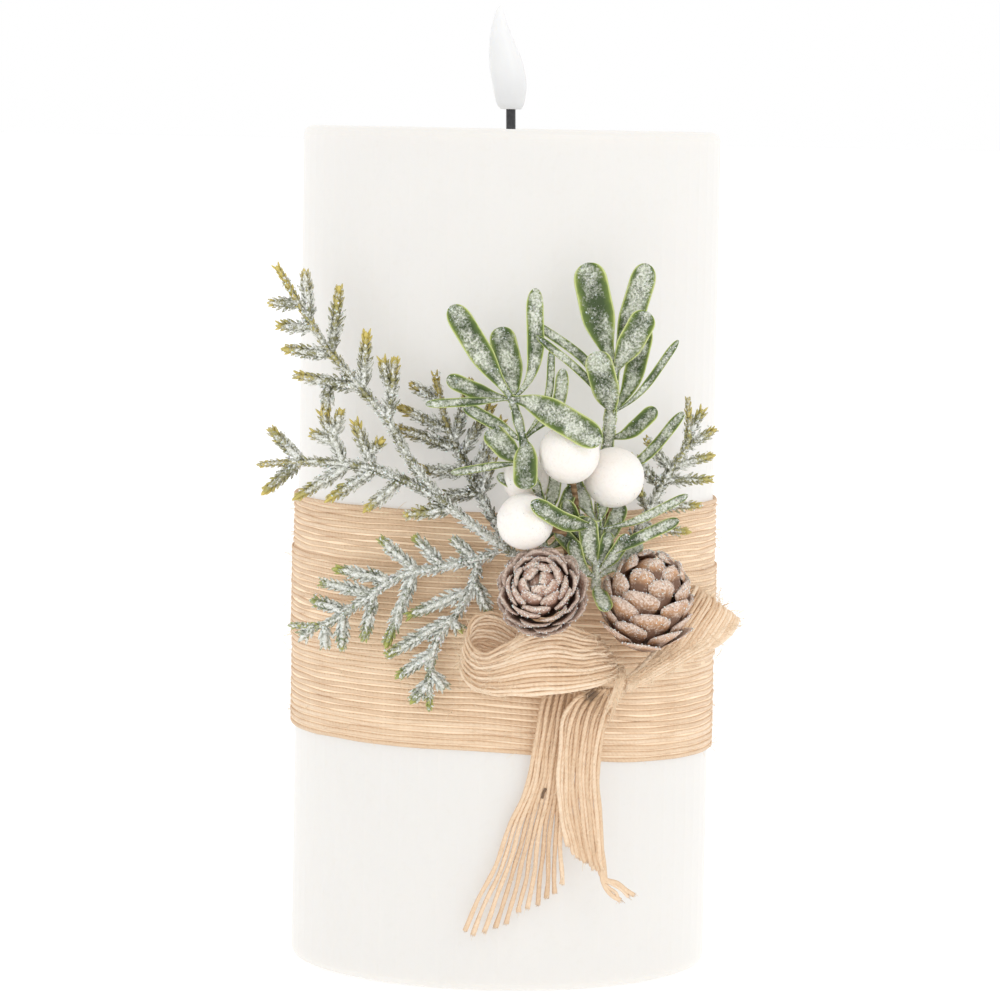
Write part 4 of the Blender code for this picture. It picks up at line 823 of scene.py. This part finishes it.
# each spray: the depth of its layer, how plump its twigs are, the colours of its young tips,
# middle and old root, how thick its frost is, and its stems and twigs as (x, z) points
JUNIPER = {
    "juniper_upper": {
        "layer": -43.3, "plump": 1.34, "snow": 1.3,
        "colours": ((0.66, 0.54, 0.15), (0.4, 0.37, 0.13), (0.22, 0.22, 0.11)),
        "stems": (
            ((3.5, 76), (-5.5, 82), (-10, 85.5), (-16, 92), (-20.5, 99.5), (-24.5, 104),
             (-30.5, 110.5), (-37.5, 120.5), (-40.5, 125)),
            ((-10, 85.5), (-14.5, 88), (-22.5, 91), (-35.5, 91.5), (-43, 90.5)),
        ),
        "twigs": (
            ((-36.5, 119), (-41, 119)), ((-34.5, 116), (-35.5, 124)), ((-34, 115), (-40, 115)),
            ((-30.5, 111), (-29.5, 121.5)), ((-31, 110.5), (-38.5, 111)),
            ((-25, 104.5), (-24.5, 114)), ((-26, 105), (-36.5, 106.5)),
            ((-31, 105.5), (-31.5, 101)), ((-20.5, 99.5), (-19.5, 109.5)),
            ((-20.3, 105), (-21.5, 109.5)), ((-35.5, 91.5), (-41, 96.5)), ((-36, 91.5), (-42, 86)),
            ((-28, 91.5), (-32, 100)), ((-30, 96), (-29, 100)), ((-29.6, 95.2), (-33.5, 96.5)),
            ((-23, 91), (-26, 98.5)), ((-23.8, 93.5), (-22, 95.5)), ((-27.5, 91.3), (-36, 85.5)),
            ((-22.5, 91), (-30.5, 85.5)), ((-18, 89.4), (-23.5, 84.5)), ((-9, 84.8), (-16.5, 83.5)),
        ),
    },
    "juniper_lower": {
        "layer": -41.4, "plump": 1.34, "snow": 2.0,
        "colours": ((0.44, 0.46, 0.12), (0.24, 0.29, 0.11), (0.13, 0.16, 0.07)),
        "stems": (
            ((-1, 77.5), (-5, 76), (-11, 74.5), (-19, 72), (-22.5, 69.5), (-27.5, 65.5),
             (-31.5, 63), (-37, 62.5)),
            ((-4.5, 76.2), (-5, 73), (-8, 66.5), (-11, 62.5), (-12.5, 55.5), (-12.5, 50.5)),
        ),
        "twigs": (
            ((-10.5, 74.6), (-15, 79)), ((-5, 76), (-8.5, 79)), ((-15, 73.4), (-21, 78.5)),
            ((-19.5, 71.7), (-28.5, 73)), ((-23, 69.1), (-31.5, 70.5)), ((-27.2, 65.8), (-33, 67)),
            ((-15.5, 73.2), (-20, 61)), ((-22.5, 69.5), (-24, 62)), ((-27.9, 65.1), (-28, 60)),
            ((-31, 63.3), (-31, 59.5)), ((-33, 62.8), (-35, 60.8)), ((-5.2, 72.5), (-2.5, 67)),
            ((-6.2, 70.5), (-16, 66)), ((-8.3, 66), (-19.5, 59)), ((-11.4, 60), (-17.5, 55.5)),
            ((-12.5, 54.8), (-15, 51.5)), ((-12.3, 56.5), (-10, 53.5)),
            ((-8.8, 65.3), (-7.8, 64.2)),
        ),
    },
    "juniper_centre": {
        "layer": -40.7, "plump": 1.34, "snow": 1.2,
        "colours": ((0.5, 0.39, 0.1), (0.28, 0.25, 0.1), (0.13, 0.13, 0.07)),
        "stems": (
            ((0, 79.5), (-3.5, 85.5), (-7, 92), (-10, 98), (-12.5, 107.5)),
        ),
        "twigs": (
            ((-11.6, 103), (-16, 105.5)), ((-10, 98), (-18, 101.5)), ((-8.5, 95), (-18.5, 98)),
            ((-6.6, 91), (-15, 91)), ((-4.5, 87.5), (-13, 86)), ((-9, 96.2), (-6.5, 106)),
            ((-7.8, 93.8), (-3, 102)), ((-6, 90), (-1, 99.5)), ((-4.2, 87), (-2.5, 93)),
        ),
    },
    "juniper_right": {
        "layer": -39.5, "plump": 1.12, "snow": 1.3,
        "colours": ((0.62, 0.52, 0.16), (0.42, 0.4, 0.15), (0.2, 0.2, 0.1)),
        "stems": (
            ((20, 75.5), (23.5, 81.5), (27.5, 89.5), (31.5, 96), (31.5, 103)),
        ),
        "twigs": (
            ((31.8, 97.5), (34, 101.5)), ((30.8, 95), (36, 98)), ((29, 92), (35.5, 93.5)),
            ((27.5, 89.5), (35.5, 89.5)), ((25.3, 85), (33.5, 85)), ((23.4, 81.4), (31.5, 80.5)),
            ((28.6, 91.4), (24.5, 96.5)), ((27, 88.6), (21.8, 93.5)), ((25, 84.4), (23, 88)),
        ),
    },
}


def scale_twig(shell, frost, points, layer, young, dice, thick):
    """A twig covered in pointed scales; young is how young its root and its tip look."""
    path = smooth_path([Vector((x, layer + SPRAY_BEND * x * x, z)) for x, z in points], 6)
    reach = lengths(path)
    halves = [(TWIG_CORE * (1 - 0.5 * d / reach[-1]),) * 2 for d in reach]
    sweep(shell, path, halves, FRONT, 5, young[0] * 0.5)
    travelled, ring = 0.3, 0
    while travelled < reach[-1] + 0.2:
        i = max(1, next((n for n, d in enumerate(reach) if d >= travelled), len(reach) - 1))
        part = (travelled - reach[i - 1]) / (reach[i] - reach[i - 1])
        at = path[i - 1].lerp(path[i], min(part, 1.0))
        along = (path[i] - path[i - 1]).normalized()
        side = along.cross(FRONT).normalized()
        portion = travelled / reach[-1]
        age = young[0] + (young[1] - young[0]) * portion ** 1.5
        size = thick * (1.0 - 0.3 * portion ** 3) * dice.uniform(0.9, 1.15)
        for leg in (0, 180) if ring % 2 else (50, 130, 270):
            out = Matrix.Rotation(math.radians(leg + dice.uniform(-10, 10)), 3, along) @ side
            spread = math.radians(dice.uniform(24, 42)) * (1 - 0.45 * portion ** 4)
            length = size * dice.uniform(1.35, 1.75)
            base = at + out * 0.2
            tip = base + (along * math.cos(spread) + out * math.sin(spread)) * length
            awl(shell, base, tip, 0.40 * size, min(1.0, age + dice.uniform(-0.12, 0.12)), out)
            frost.append((base.lerp(tip, dice.uniform(0.2, 0.7)) + out * 0.2, portion))
        travelled += TWIG_STEP
        ring += 1


def make_junipers(looks):
    for name, spray in JUNIPER.items():
        dice, shell, snowy, places = random.Random(name), Shell(), Shell(), []
        for points in spray["stems"]:
            scale_twig(shell, places, points, spray["layer"], (0.05, 0.95), dice, STEM_PLUMP)
        for points in spray["twigs"]:
            scale_twig(shell, places, points, spray["layer"], (0.2, 1.0), dice, spray["plump"])
        green = juniper_look(name + "_scales", *spray["colours"], spray["snow"])
        shell.settle(name + "_spray", [green], "juniper_green", name)
        for at, portion in places:
            heavy = noise.noise(at * 0.22) + 0.25 - 0.5 * portion ** 3
            if heavy * spray["snow"] > dice.uniform(-0.1, 0.7):
                for _ in range(2):
                    crystal(snowy, at + jitter(dice, 0.3), dice, (0.12, 0.34), 0, (0.6, 1.0))
            if dice.random() < 0.42:
                crystal(snowy, at + jitter(dice, 0.35), dice, (0.13, 0.26), 1, 0.15)
        snowy.settle(name + "_frost", [looks["frost"], looks["glitter"]], "juniper_green")


# each sprig: its stem, and its leaves in groups that share a root, each leaf with its
# shoulder, its tip and its width
MISTLETOE = {
    "mistletoe_left": {
        "stem_r": 0.85,
        "stem": ((7.0, -44.6, 77.5), (5.8, -45.6, 83.0), (5.9, -46.8, 87.0), (4.6, -49.2, 91.0),
                 (2.9, -48.6, 97.0), (0.8, -47.6, 104.4)),
        "leaves": (
            ((0.8, -47.6, 104.2), ((-0.6, -47.6, 106.0), (-9.9, -47.0, 119.9), 4.3)),
            ((1.2, -47.4, 103.2), ((0.9, -46.4, 106.0), (-1.5, -45.0, 116.3), 4.6)),
            ((0.8, -47.6, 104.2), ((2.4, -47.6, 105.8), (4.5, -46.5, 123.1), 3.0),
             ((-2.0, -48.8, 104.0), (-13.9, -50.5, 103.2), 1.6),
             ((-2.5, -46.6, 104.6), (-10.4, -46.0, 107.5), 3.0),
             ((3.4, -51.0, 104.0), (16.1, -57.5, 97.9), 5.0)),
            ((2.9, -48.6, 97.4), ((8.6, -46.6, 103.6), (9.4, -46.4, 109.5), 2.4),
             ((6.6, -46.4, 103.6), (7.4, -46.2, 113.1), 1.4)),
            ((3.0, -48.6, 96.8), ((1.6, -48.0, 97.8), (-7.4, -46.6, 102.9), 2.4),
             ((3.2, -50.8, 96.4), (3.4, -52.9, 89.2), 4.2)),
            ((3.9, -49.0, 93.6), ((1.6, -48.2, 94.6), (-3.2, -46.8, 99.0), 4.0)),
            ((3.9, -49.0, 93.4), ((0.8, -48.6, 93.2), (-9.4, -49.0, 91.5), 1.4)),
            ((6.6, -45.0, 79.5), ((8.2, -45.4, 81.5), (11.5, -45.6, 89.5), 2.4)),
            ((5.9, -45.6, 83.4), ((7.6, -45.6, 86.0), (8.6, -44.8, 92.5), 2.4)),
            ((6.9, -44.8, 78.2), ((9.0, -45.4, 79.5), (13.5, -46.0, 84.5), 2.4)),
            ((5.8, -46.0, 85.0), ((4.0, -45.6, 87.5), (-1.5, -44.8, 91.0), 2.2)),
            ((6.4, -45.4, 81.5), ((8.8, -46.6, 82.2), (14.5, -48.2, 84.0), 2.0)),
        ),
    },
    "mistletoe_right": {
        "stem_r": 1.15,
        "stem": ((15.6, -38.5, 75.0), (16.3, -38.0, 83.0), (17.0, -37.8, 90.5), (17.5, -40.5, 97.4),
                 (17.7, -43.0, 101.5), (18.1, -44.2, 110.0)),
        "leaves": (
            ((18.1, -44.2, 109.8), ((17.2, -44.4, 112.0), (13.1, -44.0, 127.5), 5.8),
             ((19.2, -43.0, 113.0), (23.5, -42.0, 127.5), 4.6)),
            ((18.0, -44.0, 108.6), ((19.2, -45.2, 111.0), (23.7, -45.6, 119.4), 4.6)),
            ((17.7, -43.0, 101.6), ((19.6, -42.6, 104.0), (23.6, -42.0, 117.0), 3.6),
             ((17.4, -46.0, 103.6), (14.9, -47.6, 112.6), 4.8),
             ((20.4, -43.4, 103.4), (29.1, -42.0, 114.5), 1.5),
             ((14.6, -44.4, 109.0), (3.6, -46.0, 117.6), 1.8),
             ((14.2, -45.6, 107.0), (4.7, -48.2, 115.1), 1.4)),
            ((17.5, -40.6, 97.4), ((19.8, -41.4, 97.9), (25.6, -42.0, 102.7), 2.8)),
            ((17.0, -37.8, 90.6), ((22.5, -37.8, 93.0), (30.5, -38.0, 101.9), 2.0)),
        ),
    },
    "mistletoe_centre": {
        "stem_r": 0.85,
        "stem": ((15.8, -44.2, 71.5), (15.9, -45.2, 77.0), (15.6, -46.0, 83.5)),
        "leaves": (
            ((15.9, -45.0, 75.5), ((15.0, -46.6, 77.6), (14.0, -48.0, 84.2), 3.4)),
            ((15.9, -45.0, 75.0), ((16.8, -45.8, 77.0), (17.6, -46.8, 81.7), 2.6)),
            ((15.9, -45.0, 74.5), ((18.2, -46.4, 77.0), (21.0, -47.0, 81.4), 2.4)),
            ((15.9, -45.2, 76.5), ((19.4, -46.8, 78.8), (29.8, -44.0, 83.8), 2.2)),
            ((15.6, -45.9, 82.0), ((20.6, -47.4, 83.2), (31.3, -43.0, 88.0), 1.6)),
            ((15.6, -45.9, 82.5), ((9.6, -53.6, 84.2), (4.4, -57.0, 87.6), 3.2)),
            ((15.8, -44.3, 72.5), ((16.4, -47.4, 71.0), (17.8, -50.0, 68.4), 2.8)),
            ((15.6, -45.0, 83.0), ((13.8, -44.6, 86.0), (11.2, -44.2, 91.0), 2.8)),
            ((15.8, -44.6, 79.0), ((12.8, -46.2, 81.6), (10.2, -48.6, 87.2), 3.0)),
            ((15.8, -44.4, 75.2), ((12.4, -46.4, 78.4), (8.8, -47.0, 82.2), 2.8)),
            ((15.9, -44.8, 73.6), ((13.2, -46.8, 75.4), (11.6, -47.6, 80.4), 2.6)),
            ((15.8, -44.6, 78.0), ((17.8, -43.6, 81.0), (20.0, -42.6, 86.4), 3.0)),
            ((15.9, -44.8, 73.4), ((18.6, -44.4, 75.6), (23.6, -43.4, 79.6), 2.6)),
            ((15.6, -45.6, 82.6), ((16.6, -45.2, 85.0), (16.4, -44.6, 90.0), 2.2)),
        ),
    },
}


def leaf_ring(point, across, out, wide, thick, full):
    """One ring round a leaf: a groove along its face, and its edges slightly raised."""
    row = []
    for side in range(LEAF_SIDES):
        turn = math.tau * side / LEAF_SIDES
        c, s = math.cos(turn), math.sin(turn)
        groove = -0.16 * math.exp(-(c / 0.22) ** 2) if s > 0 else 0.0
        raised = (LEAF_CUP * c * c + 0.05 * abs(c) ** 6) * wide
        height = thick * s * (1 - 0.25 * abs(c)) + groove * full + raised
        row.append(point + across * (wide * c) + out * height)
    return row


def leaf(shell, snowy, path, width, facing, dice):
    """A fleshy leaf: a narrow root, a broad round end, a groove and a slight twist."""
    path = smooth_path(path, 16)
    round_end = [a.lerp(b, part / 4) for a, b in zip(path[-5:-1], path[-4:]) for part in range(4)]
    path = [*path[:-5], *round_end, path[-1]]
    reach = lengths(path)
    portions = [d / reach[-1] for d in reach]
    twist = dice.uniform(-0.35, 0.35)
    rows, frames = [], []
    for i, (point, t) in enumerate(zip(path, portions)):
        along = heading(path, i)
        out = facing - along * facing.dot(along)
        out = Matrix.Rotation(twist * (t - 0.3), 3, along) @ out.normalized()
        full = 0.30 + 0.70 * ease((t - 0.06) / 0.46)
        if t > 0.80:
            full *= math.sqrt(max(0.0, 1 - ((t - 0.80) / 0.2005) ** 2.6))
        wide = max(0.1, width / 2 * full)
        thick = min(0.36, 0.16 + 0.2 * full) * (1 if t < 0.95 else 0.6)
        frames.append((point, along.cross(out), out, wide, thick))
        rows.append(leaf_ring(*frames[-1], full))
    shell.grid(rows, dice.uniform(0.1, 0.9), along=portions)
    for _ in range(int(width * reach[-1] * 2.2)):
        i = min(int(len(frames) * dice.uniform(0.06, 0.97)), len(frames) - 2)
        point, across, out, wide, thick = frames[i]
        c = dice.uniform(-0.8, 0.8)
        point = point.lerp(frames[i + 1][0], dice.random())
        at = point + across * (wide * c) + out * (thick * 0.75 + LEAF_CUP * c * c * wide)
        if noise.noise(at * 0.35) - 0.5 * c * c > dice.uniform(-0.55, 0.4):
            crystal(snowy, at, dice, (0.07, 0.20), 0.5, (0.15, 0.7))


def make_mistletoe(looks):
    for name, bunch in MISTLETOE.items():
        dice, shell, snowy = random.Random(name), Shell(), Shell()
        path, radius = smooth_path(bunch["stem"], 6), bunch["stem_r"]
        halves = [(radius + 0.12 * math.sin(1.7 * i),) * 2 for i in range(len(path))]
        sweep(shell, path, halves, FRONT, 10, 0.8, scale=0.1)
        for point in path:
            for _ in range(9):
                at = (point + spoke(dice.uniform(0, math.tau)) * radius
                      + UP * dice.uniform(-0.5, 0.5))
                crystal(snowy, at, dice, (0.12, 0.3), 0.35, (0.2, 0.8))
        leaves = [(root, *row) for root, *group in bunch["leaves"] for row in group]
        for i, (root, shoulder, tip, width) in enumerate(leaves):
            facing = Vector((0.25 * math.sin(1.3 * i), -1.0, 0.2 * math.cos(2.1 * i)))
            leaf(shell, snowy, (root, shoulder, tip), width, facing, dice)
        shell.settle(name + "_leaves", [looks["leaf_green"]], "leaf_green", name)
        snowy.settle(name + "_frost", [looks["frost"], looks["glitter"]], "leaf_green")


# ---------------------------------------------------------------- berries and cones

# each berry: its centre and radius
BERRIES = (((10.7, -50.5, 95.3), 5.15), ((18.5, -44.5, 90.9), 5.2), ((3.4, -51.0, 83.6), 4.8),
           ((3.6, -43.5, 90.3), 4.2))
BERRY_BANDS = 40
BERRY_SIDES = 64
SUGAR_GRAINS = 220


def make_berries(looks):
    for number, (centre, radius) in enumerate(BERRIES, 1):
        dice, shell, flecks = random.Random(number), Shell(), Shell()
        centre, rows = Vector(centre), []
        for i in range(1, BERRY_BANDS):
            down, row = math.pi * i / BERRY_BANDS, []
            for j in range(BERRY_SIDES):
                way = spoke(math.tau * j / BERRY_SIDES) * math.sin(down) + UP * math.cos(down)
                lumps = (0.10 * noise.noise(way * 1.6 + centre)
                         + 0.035 * noise.noise(way * 14 + centre))
                row.append(centre + way * (radius + lumps))
            rows.append(row)
        shell.grid(rows)
        shell.settle(f"berry_{number}_foam", [looks["foam_berry"]], "foam_berry", f"berry_{number}")
        for _ in range(SUGAR_GRAINS):
            way = Vector([dice.gauss(0, 1) for _ in range(3)]).normalized()
            crystal(flecks, centre + way * (radius + 0.02), dice, (0.05, 0.12), 0.4, 0.4)
        flecks.settle(f"berry_{number}_sugar", [looks["foam_berry"], looks["glitter"]],
                      "foam_berry")


# hug: how close the scales' roots lie to the axis; lift and flare: how far their rims stand out,
# all of them and the lowest; rime: how much frost is on their rims
CONES = {
    "pinecone_left": {
        "centre": (6.6, -50.3, 71.2), "half_width": 6.6, "half_length": 6.8,
        "way": (-0.14, -0.84, 0.46), "count": 50, "scale_half": 2.9, "open_to": 1.75, "hug": 0.72,
        "lift": 1.2, "flare": 0.0, "rime": 0.5, "wood": "cone_scale",
    },
    "pinecone_right": {
        "centre": (24.6, -44.0, 69.4), "half_width": 6.9, "half_length": 8.8,
        "way": (0.12, -0.3, 1.0), "count": 38, "scale_half": 3.3, "open_to": 2.15, "hug": 0.94,
        "lift": 1.0, "flare": 1.6, "rime": 0.8, "wood": "cone_tan",
    },
}
SCALE_ROWS = 8
SCALE_COLUMNS = 8
SCALE_REACH = 0.62
# where the core's rings sit on the scale colour ramp, from the top: pale at the bud, then the dark
# root colour, partly painted shade between the scales
CORE_ALONG = (0.8, 0.75, 0.6, 0.3) + (0.1,) * 7


def make_cone(looks, name, centre, half_width, half_length, way, count, scale_half, open_to, hug,
              lift, flare, rime, wood):
    """Overlapping woody scales set round an axis by the golden angle, tip first."""
    dice, shell, snowy = random.Random(name), Shell(), Shell()
    turn, centre = UP.rotation_difference(Vector(way)), Vector(centre)

    def spot(angle, radius, height):
        return turn @ (spoke(angle) * radius + UP * height) + centre

    def scale_rings(k):
        """The rings of scale number k, from its root to its rim."""
        t = (k + 0.4) / count
        down = 0.02 + open_to * t ** 0.8
        angle = k * GOLDEN_ANGLE + dice.uniform(-0.14, 0.14)
        half = scale_half * (0.55 + 0.45 * ease(t * 2.2)) * dice.uniform(0.85, 1.15)
        raised = lift * (0.04 + 0.96 * ease(t * 1.4)) * dice.uniform(0.75, 1.3)
        raised *= 1 + flare * ease((t - 0.8) / 0.15)
        lean, curl = dice.uniform(-0.12, 0.12), dice.uniform(0.1, 0.5)
        rings = []
        for i in range(SCALE_ROWS):
            v = i / (SCALE_ROWS - 1)
            front, back = [], []
            for j in range(SCALE_COLUMNS + 1):
                a = 2 * j / SCALE_COLUMNS - 1
                blade = v * (1 - 0.26 * abs(a) ** 2.4)
                d = min(down + SCALE_REACH * (1 - blade), 2.7)
                radius = (half_width * math.sin(d) * (hug + (1 - hug) * blade)
                          + raised * blade ** 1.7 + 0.1)
                height = half_length * math.cos(d) + curl * blade ** 3 + lean * a
                theta = angle + a * min(1.45,
                                        half * (0.55 + 0.45 * ease(blade * 1.5)) / max(radius, 0.6))
                thick = (0.14 + 0.32 * blade ** 2) * (1 - 0.5 * a ** 6) * (0.5 if v == 1 else 1)
                radius += (0.22 * noise.noise(Vector((a * 2.2 + k, v * 2.4, k)))
                           - 0.35 * a * a * blade)
                front.append(spot(theta, radius + thick, height + thick * 0.5))
                back.append(spot(theta, radius - thick, height - thick * 0.5))
            rings.append(front + back[::-1])
        return rings

    shell.grid([[spot(math.tau * j / 16,
                      half_width * 0.74 * hug * math.sin(math.pi * i / 10) + 0.05,
                      half_length * 0.92 * math.cos(math.pi * i / 10)) for j in range(16)]
                for i in range(11)], along=CORE_ALONG)
    for k in range(count):
        rings = scale_rings(k)
        shell.grid(rings, dice.uniform(0, 1))
        for ring, share in zip(rings[::-1], (1.0, 0.75, 0.5, 0.3)):
            for a, b in zip(ring, ring[1:SCALE_COLUMNS + 1]):
                for _ in range(3):
                    if dice.random() < rime * share:
                        at = a.lerp(b, dice.random()) + jitter(dice, 0.14)
                        crystal(snowy, at, dice, (0.07, 0.21), 0.3, (0.2, 0.8))
    shell.settle(name + "_scales", [looks[wood]], "cone_scale", name)
    snowy.settle(name + "_frost", [looks["frost"], looks["glitter"]], "cone_scale")


# ---------------------------------------------------------------- flame

# each row: height, left edge, right edge of the flame
FLAME_ROWS = (
    (153.5, -2.2, 1.5), (154.2, -2.8, 1.9), (156.0, -3.4, 2.3), (158.0, -3.8, 2.4),
    (160.0, -4.2, 2.1), (162.0, -4.4, 1.6), (164.0, -4.5, 0.8), (166.0, -4.4, -0.1),
    (168.0, -4.2, -0.9), (170.0, -3.7, -1.6), (171.4, -3.2, -2.1), (172.05, -2.7, -2.5),
)
# each row: height and radius of the lamp's pocket inside the flame
POCKET_ROWS = ((159.6, 0.8), (158.4, 1.5), (155.4, 1.5), (154.8, 1.15), (153.5, 1.15))
WICK_LEAN = -0.3
FLAME_DEPTH = 0.85
FLAME_SIDES = 40


def make_flame(looks):
    """The flame's outside, from its rim to its tip, and the pocket for the lamp."""
    def ring(z, middle, half_x, half_y):
        turns = [math.tau * i / FLAME_SIDES for i in range(FLAME_SIDES)]
        return [Vector((middle + half_x * math.cos(t), half_y * math.sin(t), z)) for t in turns]

    shell = Shell()
    rows = [ring(z, WICK_LEAN, radius, radius) for z, radius in POCKET_ROWS]
    for z, left, right in smooth_path(FLAME_ROWS, 4):
        half = (right - left) / 2
        rows.append(ring(z, (left + right) / 2, half, half * FLAME_DEPTH))
    shell.grid(rows)
    shell.settle("flame_frosted", [looks["flame_plastic"]], "flame_plastic", "flame_bulb")


# ---------------------------------------------------------------- stage

def make_camera():
    down, aside = LOOK_DOWN, LOOK_ASIDE
    ahead = Vector((math.sin(aside) * math.cos(down), math.cos(aside) * math.cos(down),
                    -math.sin(down)))
    right = Vector((math.cos(aside), -math.sin(aside), 0.0))
    top = right.cross(ahead)
    rolled_right = right * math.cos(ROLL) + top * math.sin(ROLL)
    rolled_top = top * math.cos(ROLL) - right * math.sin(ROLL)
    data = bpy.data.cameras.new("camera")
    data.lens, data.sensor_width = LENS_MM, SENSOR_MM
    data.clip_end = 200.0
    camera = bpy.data.objects.new("camera", data)
    turn = Matrix((rolled_right, rolled_top, -ahead)).transposed().to_4x4()
    camera.matrix_world = Matrix.Translation(Vector(EYE) * MM) @ turn
    bpy.context.scene.collection.objects.link(camera)
    bpy.context.scene.camera = camera


def make_lights():
    scene = bpy.context.scene
    scene.view_settings.view_transform = "Standard"
    scene.world = bpy.data.worlds.new("studio")
    scene.world.use_nodes = True
    sky = scene.world.node_tree.nodes["Background"]
    sky.inputs["Color"].default_value = (1.0, 1.0, 1.0, 1.0)
    sky.inputs["Strength"].default_value = SKY_STRENGTH
    for name, place, size, energy, tint in LAMPS:
        data = bpy.data.lights.new(name, "AREA")
        data.energy, data.size, data.color = energy, size, tint
        lamp = bpy.data.objects.new(name, data)
        lamp.location = place
        lamp.rotation_euler = (Vector(AIM) - Vector(place)).to_track_quat("-Z", "Y").to_euler()
        scene.collection.objects.link(lamp)


def make_floor():
    mesh, wide = bpy.data.meshes.new("floor"), FLOOR_SQUARES + 1
    ticks = [FLOOR_REACH * (2 * i / FLOOR_SQUARES - 1) for i in range(wide)]
    corners = [row * wide + column
               for row in range(FLOOR_SQUARES) for column in range(FLOOR_SQUARES)]
    mesh.from_pydata([(x, y, 0) for y in ticks for x in ticks], [],
                     [(c, c + 1, c + wide + 1, c + wide) for c in corners])
    floor = bpy.data.objects.new("floor", mesh)
    bpy.context.scene.collection.objects.link(floor)
    floor.location.z = -FLOOR_DROP
    look = Look("floor", Roughness=0.6, Specular_IOR_Level=0.1, Emission_Color=(1, 1, 1, 1),
                Emission_Strength=0.25)
    pale = look.ramp(look.noise(3), (0.3, 0.93), (0.7, 0.95))
    mesh.materials.append(look.done(pale))


def dress_cad_nodes(looks):
    """Give every CAD node the finish of its own slot."""
    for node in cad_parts.values():
        for slot in node.material_slots:
            slot.material = looks[slot.material.name.split(".")[0]]


def main():
    looks = make_looks()
    make_camera()
    make_lights()
    make_floor()
    dress_cad_nodes(looks)
    make_flame(looks)
    make_wrap(looks)
    make_bow(looks)
    make_junipers(looks)
    make_mistletoe(looks)
    make_berries(looks)
    for name, cone in CONES.items():
        make_cone(looks, name, **cone)


main()
